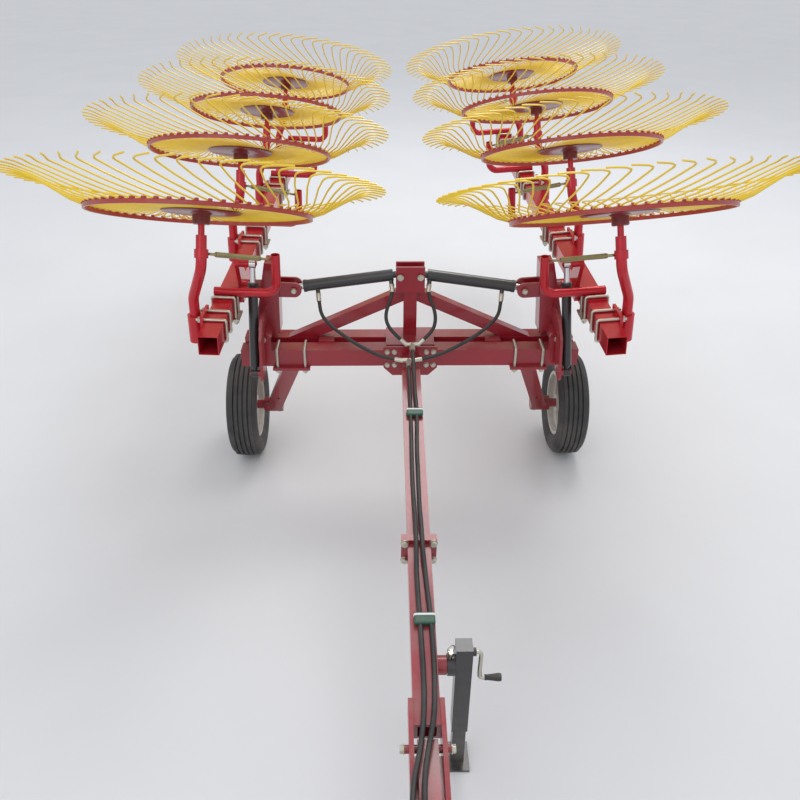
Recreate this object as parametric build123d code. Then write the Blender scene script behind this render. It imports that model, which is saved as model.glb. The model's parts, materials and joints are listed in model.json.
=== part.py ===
"""Towed V wheel rake in its transport pose: two road wheels, a double crossbeam, two folding
rake beams with four rake wheels each, and a long drawbar on its parking jack.

Millimetres, +X to the right of someone who faces the machine from its hitch, -Y towards the
tractor, +Z up. Left and right are named from there too. Every piece is drawn with the ground at
z = 0 and the crossbeam at y = 0, and is moved at the end so that the origin is the centre of the
hitch pin's bore. Pieces of a side are drawn for the side at +X, and the other side is their
mirror image.
"""
from build123d import *
import math
import os

# Clearances: a running fit at pins, a sliding fit, and the gap between pieces of two bodies
FIT = 0.05
SLIDE_FIT = 0.3
GAP = 2.0

# Crossbeam: two square tubes side by side
BAR = 80.0
BAR_WALL = 7.0
BAR_HALF = 765.0
BAR_GAP = 50.0
BAR_Z = 728.0
FRONT_BAR_Y = -43.0
BRIDGE_WIDTH = 70.0
BRIDGE_RISE = 6.0
BRIDGE_STATIONS = (60.0, 384.0, 720.0)
REAR_BAR_Y = FRONT_BAR_Y + BAR + BAR_GAP
BAR_TOP = BAR_Z + BAR / 2
BAR_FRONT = FRONT_BAR_Y - BAR / 2
BAR_BACK = REAR_BAR_Y + BAR / 2

# Fold hinge on top of each end of the crossbeam
FOLD_X = 660.0
FOLD_RISE = 57.0
FOLD_Z = BAR_TOP + FOLD_RISE
FOLD_PIN_R = 15.0
FOLD_LUG = 16.0
FOLD_LUG_R = 34.0
FOLD_BOSS_R = 34.0
PIN_HEAD = 8.0
PIN_HEAD_R = 20.0

# Mast with its head plates and braces
MAST_WIDTH = 60.0
MAST_DEPTH = 50.0
MAST_WALL = 5.0
MAST_Y = 55.0
MAST_PIN_Z = 1080.0
MAST_PIN_X = 45.0
MAST_PIN_R = 12.0
HEAD_PLATE = 12.0
HEAD_HALF = 64.0
HEAD_ABOVE = 45.0
HEAD_BELOW = 75.0
FOOT_PLATE = 12.0
BRACE = 50.0
BRACE_WALL = 5.0
BRACE_DROP = 60.0
BRACE_TOP_Z = 1010.0
BRACE_FOOT_X = (430.0, 560.0)

# Axle legs, stub axles and road wheels
TRACK_HALF = 825.0
AXLE_Y = 268.0
TYRE_R = 265.0
TYRE_WIDTH = 150.0
TYRE_WALL = 12.0
RIM_R = 153.0
RIM_WIDTH = 112.0
RIM_WALL = 4.0
HUB_R = 52.0
HUB_LENGTH = 90.0
AXLE_R = 22.5
LEG = 70.0
LEG_WALL = 6.0
LEG_TOP_X = 540.0
LEG_FOOT_X = 688.0
LEG_PLATE = 12.0
LEG_PLATE_HALF = (84.0, 62.0)
AXLE_TUBE_R = 38.0
DRAIN_R = 6.0

# Drawbar: a rear and a front length bolted together at a flange
DRAW = 80.0
DRAW_WALL = 12.0
DRAW_TOP_Z = 715.0
DRAW_SLOPE = 8.7
EAR_HALF = 122.0
EAR_TOP_Z = 790.0
EAR_BOTTOM_Z = 645.0
EAR_CHAMFER = 40.0
EAR_PLATE = 12.0
EAR_BOLT_R = 9.0
EAR_BOLT_X = (72.0, 104.0)
SPLICE_Y = -1150.0
SPLICE_HALF = 62.0
SPLICE_HEIGHT = 118.0
SPLICE_PLATE = 14.0
DRAW_FRONT = 660.0
DRAW_FRONT_Y = SPLICE_Y - DRAW_FRONT

# Hitch: side plates round the drawbar's front end, a tongue and a clevis
HITCH_PLATE = 14.0
HITCH_PLATE_HEIGHT = 92.0
HITCH_PLATE_LAP = 80.0
HITCH_PLATE_REACH = 270.0
HITCH_PLATE_Y = (DRAW_FRONT_Y - HITCH_PLATE_REACH, DRAW_FRONT_Y + HITCH_PLATE_LAP)
HITCH_BOLT_R = 12.0
TONGUE = 60.0
TONGUE_LENGTH = 540.0
TONGUE_SETBACK = 30.0
TONGUE_Y = (DRAW_FRONT_Y - TONGUE_SETBACK - TONGUE_LENGTH, DRAW_FRONT_Y - TONGUE_SETBACK)
TONGUE_Z = 430.0
CLEVIS_PLATE = 18.0
CLEVIS_PIN_R = 16.0
CLEVIS_REACH = 70.0
CLEVIS_Y = TONGUE_Y[0] - CLEVIS_REACH
CLEVIS_R = 45.0

# Parking jack beside the drawbar
JACK_X = 122.0
JACK_Y = -1590.0
JACK_PIVOT_Z = 470.0
JACK_TUBE = 52.0
JACK_TUBE_WALL = 4.0
JACK_LEG = JACK_TUBE - 2 * JACK_TUBE_WALL - 2 * SLIDE_FIT
JACK_TOP_Z = 560.0
JACK_TUBE_BOTTOM_Z = 175.0
JACK_LEG_TOP_Z = 430.0
JACK_FOOT = (80.0, 110.0, 8.0)
JACK_RING_R = 33.0
JACK_PIN_R = 24.0
CRANK_Z = 528.0
CRANK_R = 7.0
CRANK_ARM = 118.0
GRIP_R = 13.0
GRIP_LENGTH = 56.0

# Tower that folds with a rake beam, drawn upright
TOWER_INNER_X = 592.0
TOWER_TOP_X = 652.0
TOWER_FOOT_X = 700.0
TOWER_TOP_Z = 1150.0
TOWER_DEPTH = 100.0
TOWER_Y = MAST_Y
TOWER_WALL = 6.0
LIFT_LUG_X = 526.0
LIFT_LUG_Z = 1022.0
LIFT_LUG_R = 34.0
LIFT_LUG_PLATE = 12.0
SPREAD_Z = 1008.0
SPREAD_BOSS_R = 42.0
SPREAD_PIN_R = 25.0
FOOT_PIN_Y = -175.0
FOOT_PIN_Z = 703.0
FOOT_PIN_R = 11.0
FOOT_BRACKET = 12.0
FOOT_BRACKET_X = 661.0

# Cylinders: the lift cylinders tilt the towers, the spread cylinders swing the beams
LIFT_BARREL_R = 26.0
LIFT_ROD_R = 15.0
LIFT_EYE_R = 20.0
LIFT_EYE_WIDTH = 44.0
LIFT_STROKE = 330.0
SPREAD_BARREL_R = 21.0
SPREAD_ROD_R = 12.0
SPREAD_EYE_R = 20.0
SPREAD_EYE_WIDTH = 26.0
SPREAD_STROKE = 60.0
GLAND = 14.0
BARREL_START = 32.0

# Rake beam, drawn level, with its pivot on the tower
BEAM = 80.0
BEAM_WALL = 3.2
BEAM_X = 800.0
BEAM_FRONT_Y = -500.0
BEAM_TAIL = 85.0
BEAM_PAD = 15.0
CRANK_LUG_Y = -60.0
CRANK_LUG_Z = 1175.0
CRANK_LUG_X = 690.0
CRANK_LUG_PIN_R = 8.0

# Arms that carry the rake wheels, and the posts that hold their springs
HUB_X = 826.0
HUB_Z = 1475.0
HUB_FIRST_Y = -300.0
HUB_PITCH = 880.0
WHEEL_COUNT = 4
WHEEL_RAKE = 24.0
ARM_R = 21.0
ARM_BORE_R = 18.5
ARM_PLATE = 12.0
ARM_PLATE_HALF = (60.0, 66.0)
BUSH_R = 31.0
BUSH_X = 884.0
BUSH_BACK = 25.0
BUSH_Z = (940.0, 1056.0)
STUB_R = 12.5
STUB_TOP = 14.0
STUB_BARE = 85.0
POST_R = 19.0
POST_WALL = 3.0
POST_BORE_R = POST_R - POST_WALL
POST_BACK = 165.0
BEAM_BACK_Y = HUB_FIRST_Y + HUB_PITCH * (WHEEL_COUNT - 1) + POST_BACK + BEAM_TAIL
POST_X = 578.0
POST_END_X = 842.0
POST_BEND = 50.0
POST_TOP_Z = 1250.0
SPRING_R = 11.0
SPRING_EYE_R = 14.0
COLLAR_R = 27.0
COLLAR_WIDTH = 34.0

# Rake wheel: a hub, a flat ring and wire tines that sweep out and bend up to their tips
RING_R = 417.0
RING_WIDTH = 10.0
RING_HEIGHT = 16.0
TIP_R = 700.0
TINE_COUNT = 60
TINE_R = 3.8
TINE_START_R = 142.0
TINE_TANGENT_R = 125.0
TINE_LAP = 12.0
SHANK_OUT = 115.0
SHANK_SWEEP = 150.0
SHANK_RISE = 68.0
TIP_RISE = 30.0
HUB_PLATE_R = 150.0
HUB_PLATE = 4.0
WHEEL_HUB_R = 34.0
WHEEL_HUB_BELOW = 46.0
WHEEL_HUB_ABOVE = 10.0

# U-bolts of round bar, with their nuts, over the beams and the crossbeam's front tube
U_BOLT_R = 6.5
U_NUT_R = 12.0
U_NUT = 11.0
U_FIT = 0.5
U_REACH = U_BOLT_R + U_FIT
ARM_U_SPACING = 42.0
POST_U_SPACING = 32.0
U_BEND = 8.0
SADDLE = 8.0
SADDLE_HALF = 48.0
LEG_U_SPACING = 62.0

# Hydraulic hoses, the tees on the drawbar, the cylinders' ports and the parked couplers
HOSE_R = 8.0
FERRULE_R = 10.0
FERRULE = 34.0
TEE_R = 11.0
TEE_HALF = 26.0
TEES = {
    "upper": {"centre": (7.0, -108.0, 810.0), "swept": (0.75, 0.30, 0.59)},
    "lower": {"centre": (-12.0, -182.0, 770.0), "swept": (0.94, 0.34, 0.0)},
}
PORT_R = 10.0
PORT_LENGTH = 16.0
PORT_LEAN = (0.8, -0.6)
PORT_PLACES = {"inner": BARREL_START + 12.0, "outer": 375.0}
PORT_GAP = 0.3
COUPLER_R = 15.0
COUPLER = 62.0
COUPLER_Y = TONGUE_Y[0] + 150
COUPLER_PLACES = ((-52.0, 486.0), (-18.0, 486.0))
PARK_PLATE = 8.0

# Points of the main hoses on the drawbar: x, y, and how high the centre runs over its top face
HOSE_LIES = HOSE_R + 0.5
HOSE_OVER_SPLICE = HOSE_R + (SPLICE_HEIGHT - DRAW) / 2 + 1.4
MAIN_HOSES = (
    ("lower", [(-10, -430, HOSE_LIES), (-12, -640, HOSE_LIES), (-15, -830, HOSE_LIES),
               (-13, -1000, HOSE_LIES), (-10, -1100, HOSE_OVER_SPLICE), (-11, -1200, HOSE_OVER_SPLICE),
               (-14, -1310, HOSE_LIES), (-8, -1500, HOSE_LIES), (-4, -1690, HOSE_LIES),
               (-9, -1800, HOSE_LIES)], [(-24, -1900, 491), (-46, -1985, 481), (-52, -2085, 486)]),
    ("upper", [(10, -365, 28), (16, -500, HOSE_LIES), (8, -690, HOSE_LIES), (8, -860, HOSE_LIES),
               (7, -1000, HOSE_LIES), (9, -1100, HOSE_OVER_SPLICE), (10, -1200, HOSE_OVER_SPLICE),
               (16, -1310, HOSE_LIES), (27, -1480, HOSE_LIES), (29, -1660, HOSE_LIES),
               (22, -1790, HOSE_LIES)], [(0, -1890, 493), (-16, -1975, 485), (-18, -2085, 486)]),
)

# Points of the lift cylinders' hoses between the port's straight start and the tee's ferrule
LIFT_HOSES = {
    ("right", "inner"): [(108, -38, 946), (112, -62, 900), (96, -83, 860)],
    ("left", "inner"): [(-109, -38, 946), (-110, -62, 900), (-82, -83, 860)],
    ("right", "outer"): [(395, -31, 916), (356, -62, 883), (276, -104, 840), (185, -131, 799), (102, -150, 770)],
    ("left", "outer"): [(-398, -31, 919), (-360, -62, 885), (-282, -104, 840), (-203, -131, 799),
                        (-126, -150, 770)],
}

# How each side stands in transport: the tower's lean, and the rake beam's droop and toe-in
SIDES = {
    "left": {"lean": 2.0, "droop": 0.0, "toe": 1.0},
    "right": {"lean": 4.0, "droop": 1.2, "toe": 1.0},
}

HITCH = (0.0, CLEVIS_Y, TONGUE_Z)

# Height of the drawbar's top face over its centre line
DRAW_RISE = DRAW / 2 / math.cos(math.radians(DRAW_SLOPE))


def block(x, y, z):
    """Returns a box between two values along each axis."""
    middle = Pos((x[0] + x[1]) / 2, (y[0] + y[1]) / 2, (z[0] + z[1]) / 2)
    return middle * Box(x[1] - x[0], y[1] - y[0], z[1] - z[0])


def rod(start, end, radius):
    """Returns a round bar from one point to another."""
    start, end = Vector(*start), Vector(*end)
    return extrude(Plane(origin=start, z_dir=end - start) * Circle(radius), (end - start).length)


def square_bar(start, end, section, wall, x_dir):
    """Returns a square tube from one point to another, with one side's direction given."""
    start, end = Vector(*start), Vector(*end)
    face = Rectangle(section, section) - Rectangle(section - 2 * wall, section - 2 * wall)
    return extrude(Plane(origin=start, x_dir=x_dir, z_dir=end - start) * face, (end - start).length)


def plate_xz(points, y):
    """Returns a plate across Y whose outline is given as (x, z) points."""
    face = Plane.XZ.offset(-y[1]) * Polygon(*points, align=None)
    return extrude(face, y[1] - y[0], dir=(0, -1, 0))


def plate_yz(points, x):
    """Returns a plate across X whose outline is given as (y, z) points."""
    face = Plane.YZ.offset(x[0]) * Polygon(*points, align=None)
    return extrude(face, x[1] - x[0], dir=(1, 0, 0))


def bent_pipe(points, bends, outer, inner):
    """Returns a pipe along straight runs joined by bends, open at both ends."""
    path = FilletPolyline(*points, radius=bends)
    face = Circle(outer) - Circle(inner) if inner else Circle(outer)
    return sweep(Plane(origin=path @ 0, z_dir=path % 0) * face, path=path)


def drawbar_z(y):
    """Returns the height of the drawbar's centre line at a station along it."""
    return DRAW_TOP_Z - (BAR_FRONT - y) * math.tan(math.radians(DRAW_SLOPE))


def along(start, end, distance):
    """Returns the point at a distance from the start towards the end."""
    start, end = Vector(*start), Vector(*end)
    return start + (end - start).normalized() * distance


def crossbeam():
    """Two square tubes, the blocks that bridge them, and the fold hinges' lugs and pins."""
    tube = Box(2 * BAR_HALF, BAR, BAR) - Box(2 * BAR_HALF, BAR - 2 * BAR_WALL, BAR - 2 * BAR_WALL)
    shape = Pos(0, FRONT_BAR_Y, BAR_Z) * tube + Pos(0, REAR_BAR_Y, BAR_Z) * tube
    inner_faces = (FRONT_BAR_Y + BAR / 2, REAR_BAR_Y - BAR / 2)
    for side in (-1, 1):
        for station in BRIDGE_STATIONS:
            x = side * station
            width = (x - BRIDGE_WIDTH / 2, x + BRIDGE_WIDTH / 2)
            shape += block(width, inner_faces, (BAR_Z - BAR / 2, BAR_TOP + BRIDGE_RISE))
        x = side * FOLD_X
        for face in (BAR_FRONT, BAR_BACK - FOLD_LUG):
            thickness = (face, face + FOLD_LUG)
            shape += block((x - FOLD_LUG_R, x + FOLD_LUG_R), thickness, (BAR_TOP, FOLD_Z))
            shape += rod((x, face, FOLD_Z), (x, face + FOLD_LUG, FOLD_Z), FOLD_LUG_R)
        pin = (BAR_FRONT - PIN_HEAD, BAR_BACK + PIN_HEAD)
        shape += rod((x, pin[0], FOLD_Z), (x, pin[1], FOLD_Z), FOLD_PIN_R)
        for end, step in ((pin[0], PIN_HEAD), (pin[1], -PIN_HEAD)):
            shape += rod((x, end, FOLD_Z), (x, end + step, FOLD_Z), PIN_HEAD_R)
    return shape


def mast():
    """The post on its foot plate, its head plates and pins, and the two diagonal braces."""
    foot_top = BAR_TOP + BRIDGE_RISE + FOOT_PLATE
    back = MAST_Y + MAST_DEPTH / 2
    shape = block((-110, 110), (BAR_FRONT + 20, BAR_BACK - 15), (foot_top - FOOT_PLATE, foot_top))
    post_top = MAST_PIN_Z - LIFT_BARREL_R - 12
    height = post_top - foot_top
    post = Box(MAST_WIDTH, MAST_DEPTH, height)
    post -= Box(MAST_WIDTH - 2 * MAST_WALL, MAST_DEPTH - 2 * MAST_WALL, height)
    shape += Pos(0, MAST_Y, foot_top + height / 2) * post
    head = (MAST_PIN_Z - HEAD_BELOW, MAST_PIN_Z + HEAD_ABOVE)
    for inner, step in ((MAST_Y - MAST_DEPTH / 2, -HEAD_PLATE), (back, HEAD_PLATE)):
        faces = sorted((inner, inner + step))
        shape += block((-HEAD_HALF, HEAD_HALF), faces, head)
    for side in (-1, 1):
        x = side * MAST_PIN_X
        ends = (MAST_Y - MAST_DEPTH / 2 - HEAD_PLATE - PIN_HEAD, back + HEAD_PLATE + PIN_HEAD)
        shape += rod((x, ends[0], MAST_PIN_Z), (x, ends[1], MAST_PIN_Z), MAST_PIN_R)
        edge = side * MAST_WIDTH / 2
        outline = [(edge, BRACE_TOP_Z), (edge, BRACE_TOP_Z - BRACE_DROP)]
        outline += [(side * BRACE_FOOT_X[0], BAR_TOP), (side * BRACE_FOOT_X[1], BAR_TOP)]
        web = [(edge, BRACE_TOP_Z - BRACE_WALL), (edge, BRACE_TOP_Z - BRACE_DROP + BRACE_WALL)]
        web += [(side * (x_foot + step), BAR_TOP)
                for x_foot, step in zip(BRACE_FOOT_X, (3 * BRACE_WALL, -3 * BRACE_WALL))]
        front = REAR_BAR_Y - BAR / 2 + GAP
        brace = plate_xz(outline, (front, front + BRACE))
        brace -= plate_xz(web, (front + BRACE_WALL, front + BRACE))
        shape += brace
    return shape


def leg_bolt_places():
    """Returns where the U-bolts' legs pass the axle leg's plate, in plan."""
    reach = BAR / 2 + U_REACH
    return [(LEG_TOP_X + step, FRONT_BAR_Y + side * reach)
            for step in (-LEG_U_SPACING, LEG_U_SPACING) for side in (-1, 1)]


def leg_u_bolts():
    """The two U-bolts that hold an axle leg's plate up against the front tube."""
    pieces = []
    low = BAR_Z - BAR / 2 - LEG_PLATE
    reach = BAR / 2 + U_REACH
    for x in (LEG_TOP_X - LEG_U_SPACING, LEG_TOP_X + LEG_U_SPACING):
        front, back, top = FRONT_BAR_Y - reach, FRONT_BAR_Y + reach, BAR_TOP + U_REACH
        path = [(x, front, low - U_NUT - 8), (x, front, top), (x, back, top), (x, back, low - U_NUT - 8)]
        bolt = bent_pipe(path, [U_BEND, U_BEND], U_BOLT_R, 0)
        for y in (front, back):
            bolt += rod((x, y, low - U_NUT - FIT), (x, y, low - FIT), U_NUT_R)
        pieces.append(bolt)
    return pieces


def axle_leg():
    """The plate under the front tube, the slanting leg, its foot and the stub axle."""
    plate_z = BAR_Z - BAR / 2
    half_x, half_y = LEG_PLATE_HALF
    shape = block((LEG_TOP_X - half_x, LEG_TOP_X + half_x), (FRONT_BAR_Y - half_y, FRONT_BAR_Y + half_y),
                  (plate_z - LEG_PLATE, plate_z))
    for x, y in leg_bolt_places():
        shape -= rod((x, y, 0), (x, y, plate_z), U_BOLT_R + 1)
    top = (LEG_TOP_X, FRONT_BAR_Y, plate_z - LEG_PLATE / 2)
    foot = (LEG_FOOT_X, AXLE_Y, TYRE_R)
    leg = square_bar(along(top, foot, -LEG), foot, LEG, LEG_WALL, (1, 0, 0.3))
    below = block((0, 2 * BAR_HALF), (-BAR_HALF, BAR_HALF), (0, plate_z - LEG_PLATE / 2))
    shape += leg & below
    inner = LEG_FOOT_X - LEG / 2 - LEG_WALL
    tube_end = TRACK_HALF - TYRE_WIDTH / 2 - 4 * GAP
    shape += rod((inner, AXLE_Y, TYRE_R), (tube_end, AXLE_Y, TYRE_R), AXLE_TUBE_R)
    end = TRACK_HALF + HUB_LENGTH / 2
    shape += rod((tube_end, AXLE_Y, TYRE_R), (end, AXLE_Y, TYRE_R), AXLE_R)
    drain = along(foot, top, 2 * LEG)
    return shape - rod((drain.X, drain.Y - LEG, drain.Z), (drain.X, drain.Y + LEG, drain.Z), DRAIN_R)


def turned(profile):
    """Returns a solid of revolution about the wheel's axle, at its place under the machine.

    The profile's points are (distance along the axle from the wheel's middle, radius)."""
    face = Plane.XY * Polygon(*profile, align=None)
    return Pos(TRACK_HALF, AXLE_Y, TYRE_R) * revolve(face, Axis.X)


def tyre():
    """A tyre with square shoulders, open towards its rim."""
    half, shoulder = TYRE_WIDTH / 2, 14.0
    bead = RIM_WIDTH / 2 - RIM_WALL
    outer = [(-bead, RIM_R), (-bead, RIM_R + 16), (-half, RIM_R + 45), (-half, TYRE_R - 2 * shoulder)]
    outer += [(-half + 0.7 * shoulder, TYRE_R - 5), (-half + 2 * shoulder, TYRE_R)]
    outer += [(-x, r) for x, r in reversed(outer)]
    wall = TYRE_WALL
    inner = [(-bead + wall, RIM_R), (-half + wall, RIM_R + 48), (-half + wall, TYRE_R - 2 * wall - 8)]
    inner += [(-half + 2 * wall + 6, TYRE_R - wall - 4)]
    inner += [(-x, r) for x, r in reversed(inner)]
    return turned(outer) - turned(inner)


def rim():
    """The wheel's rim with its flanges and drop centre, its dished disc, hub and cap."""
    half, wall, well = RIM_WIDTH / 2, RIM_WALL, 18.0
    top = RIM_R - FIT
    outer = [(-half, top + 14), (-half + wall, top + 14), (-half + wall, top), (-half + 26, top)]
    outer += [(-half + 34, top - well), (half - 34, top - well)]
    outer += [(half - 26, top), (half - wall, top), (half - wall, top + 14), (half, top + 14)]
    inner = [(half, top - wall), (half - 28, top - wall), (half - 36, top - well - wall)]
    inner += [(-half + 36, top - well - wall), (-half + 28, top - wall), (-half, top - wall)]
    shape = turned(outer + inner)
    dish = [(18, top - well - 2), (18, 100), (2, 78), (2, HUB_R - 2), (10, HUB_R - 2)]
    dish += [(10, 74), (26, 96), (26, top - well - 2)]
    shape += turned(dish)
    hub = HUB_LENGTH / 2
    bore = AXLE_R + FIT
    shape += turned([(-hub, bore), (-hub, HUB_R - 8), (-hub + 20, HUB_R - 8), (-hub + 24, HUB_R),
                     (14, HUB_R), (14, HUB_R - 14), (hub, HUB_R - 14), (hub, bore)])
    cap = [(hub, 0), (hub, HUB_R - 14), (hub + 12, HUB_R - 18), (hub + 26, HUB_R - 30), (hub + 26, 0)]
    hollow = [(hub, 0), (hub, bore), (hub + 8, bore), (hub + 8, 0)]
    return shape + (turned(cap) - turned(hollow))


def drawbar_rear():
    """The ear plate on the front tube, the rear length of the drawbar and its flange."""
    face = BAR_FRONT - EAR_PLATE
    chamfer = EAR_CHAMFER
    ears = [(-EAR_HALF, EAR_TOP_Z), (EAR_HALF, EAR_TOP_Z), (EAR_HALF, EAR_BOTTOM_Z + chamfer)]
    ears += [(EAR_HALF - chamfer, EAR_BOTTOM_Z), (-EAR_HALF + chamfer, EAR_BOTTOM_Z)]
    ears += [(-EAR_HALF, EAR_BOTTOM_Z + chamfer)]
    shape = plate_xz(ears, (face, BAR_FRONT))
    start = (0, BAR_FRONT - EAR_PLATE / 2, drawbar_z(BAR_FRONT - EAR_PLATE / 2))
    end = (0, SPLICE_Y + SPLICE_PLATE / 2, drawbar_z(SPLICE_Y + SPLICE_PLATE / 2))
    shape += square_bar(start, end, DRAW, DRAW_WALL, (1, 0, 0)) & block(
        (-BAR, BAR), (SPLICE_Y, BAR_FRONT - EAR_PLATE / 2), (0, 2 * BAR_TOP))
    for side in (-1, 1):
        for x in EAR_BOLT_X:
            for z in (EAR_TOP_Z - 24, EAR_BOTTOM_Z + 55):
                shape += rod((side * x, face - 10, z), (side * x, face, z), EAR_BOLT_R)
    web = [(face, DRAW_TOP_Z + DRAW / 2 + 22), (face, DRAW_TOP_Z), (face - 110, drawbar_z(face - 110))]
    shape += plate_yz(web, (-FOLD_LUG / 2, FOLD_LUG / 2))
    flange = Box(2 * SPLICE_HALF, SPLICE_PLATE, SPLICE_HEIGHT)
    turn = Pos(0, SPLICE_Y, drawbar_z(SPLICE_Y)) * Rot(DRAW_SLOPE, 0, 0)
    return shape + turn * Pos(0, SPLICE_PLATE / 2, 0) * flange - rod(
        (0, -600, 0), (0, -600, drawbar_z(-600)), DRAIN_R)


def drawbar_front():
    """The flange, the front length of the drawbar with its open end, and the jack's stub."""
    turn = Pos(0, SPLICE_Y, drawbar_z(SPLICE_Y)) * Rot(DRAW_SLOPE, 0, 0)
    length = (SPLICE_Y - DRAW_FRONT_Y) / math.cos(math.radians(DRAW_SLOPE))
    tube = Box(DRAW, length, DRAW) - Box(DRAW - 2 * DRAW_WALL, length, DRAW - 2 * DRAW_WALL)
    shape = turn * Pos(0, -length / 2, 0) * tube
    shape += turn * Pos(0, -SPLICE_PLATE / 2, 0) * Box(2 * SPLICE_HALF, SPLICE_PLATE, SPLICE_HEIGHT)
    for side in (-1, 1):
        for level in (-1, 1):
            bolt = Pos(side * (SPLICE_HALF - 12), -SPLICE_PLATE - 6, level * (SPLICE_HEIGHT / 2 - 14))
            shape += turn * bolt * Box(16, 12, 16)
    collar_end = JACK_X - JACK_TUBE / 2
    shape += rod((DRAW / 2 - DRAW_WALL / 2, JACK_Y, JACK_PIVOT_Z), (collar_end - 26, JACK_Y, JACK_PIVOT_Z), 30)
    return shape + rod((collar_end - 26, JACK_Y, JACK_PIVOT_Z), (collar_end - 1, JACK_Y, JACK_PIVOT_Z), JACK_PIN_R)


def hitch():
    """The side plates, their cross bolts, the tongue and the clevis with its pin bore."""
    shape = None
    slope = Pos(0, DRAW_FRONT_Y, drawbar_z(DRAW_FRONT_Y)) * Rot(DRAW_SLOPE, 0, 0)
    low, high = HITCH_PLATE_Y[0] - DRAW_FRONT_Y, HITCH_PLATE_Y[1] - DRAW_FRONT_Y
    for side in (-1, 1):
        inner = side * DRAW / 2
        faces = sorted((inner, inner + side * HITCH_PLATE))
        plate = slope * block(faces, (low, high), (-HITCH_PLATE_HEIGHT / 2, HITCH_PLATE_HEIGHT / 2))
        shape = plate if shape is None else shape + plate
    reach = DRAW / 2 + HITCH_PLATE + 14
    for y in (DRAW_FRONT_Y - 50, HITCH_PLATE_Y[0] + 45):
        shape += rod((-reach, y, drawbar_z(y)), (reach, y, drawbar_z(y)), HITCH_BOLT_R)
    z = (TONGUE_Z - TONGUE / 2, TONGUE_Z + TONGUE / 2)
    tongue = block((-TONGUE / 2, TONGUE / 2), TONGUE_Y, z)
    shape += tongue
    for side in (-1, 1):
        spacer = sorted((side * TONGUE / 2, side * DRAW / 2))
        shape += block(spacer, (HITCH_PLATE_Y[0], TONGUE_Y[1] - 40), (z[0] + 8, z[1] - 20))
    for base in (z[0] - CLEVIS_PLATE, z[1]):
        plate = block((-CLEVIS_R, CLEVIS_R), (CLEVIS_Y, TONGUE_Y[0] + 90), (base, base + CLEVIS_PLATE))
        shape += plate + rod((0, CLEVIS_Y, base), (0, CLEVIS_Y, base + CLEVIS_PLATE), CLEVIS_R)
    return shape - rod((0, CLEVIS_Y, z[0] - 2 * CLEVIS_PLATE), (0, CLEVIS_Y, z[1] + 2 * CLEVIS_PLATE),
                       CLEVIS_PIN_R)


def jack_tube():
    """The jack's outer tube with its cap, the ring on the drawbar's stub, and the crank shaft."""
    z = (JACK_TUBE_BOTTOM_Z, JACK_TOP_Z)
    half, wall = JACK_TUBE / 2, JACK_TUBE_WALL
    x, y = (JACK_X - half, JACK_X + half), (JACK_Y - half, JACK_Y + half)
    shape = block(x, y, z) - block((x[0] + wall, x[1] - wall), (y[0] + wall, y[1] - wall),
                                   (z[0], z[1] - wall))
    ring = rod((x[0] - 24, JACK_Y, JACK_PIVOT_Z), (x[0], JACK_Y, JACK_PIVOT_Z), JACK_RING_R)
    ring -= rod((x[0] - 24, JACK_Y, JACK_PIVOT_Z), (x[0], JACK_Y, JACK_PIVOT_Z), JACK_PIN_R + FIT)
    return shape + ring + rod((x[1], JACK_Y, CRANK_Z), (x[1] + 12, JACK_Y, CRANK_Z), 13)


def jack_crank():
    """The crank: a bent round bar that hangs from the shaft, with its grip."""
    start = JACK_X + JACK_TUBE / 2 + 12
    out = start + 16
    points = [(start, JACK_Y, CRANK_Z), (out, JACK_Y, CRANK_Z), (out, JACK_Y, CRANK_Z - CRANK_ARM),
              (out + 16, JACK_Y, CRANK_Z - CRANK_ARM)]
    shape = rod(points[0], (out + CRANK_R, JACK_Y, CRANK_Z), CRANK_R)
    shape += rod(points[1], points[2], CRANK_R)
    end = (out + GRIP_LENGTH + 14, JACK_Y, CRANK_Z - CRANK_ARM)
    shape += rod((out - CRANK_R, JACK_Y, CRANK_Z - CRANK_ARM), points[3], CRANK_R)
    return shape + rod(points[3], end, GRIP_R)


def jack_leg():
    """The jack's inner leg and its foot plate on the ground."""
    half = JACK_LEG / 2
    shape = block((JACK_X - half, JACK_X + half), (JACK_Y - half, JACK_Y + half),
                  (JACK_FOOT[2], JACK_LEG_TOP_Z))
    return shape + Pos(JACK_X, JACK_Y, JACK_FOOT[2] / 2) * Box(*JACK_FOOT)


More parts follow.
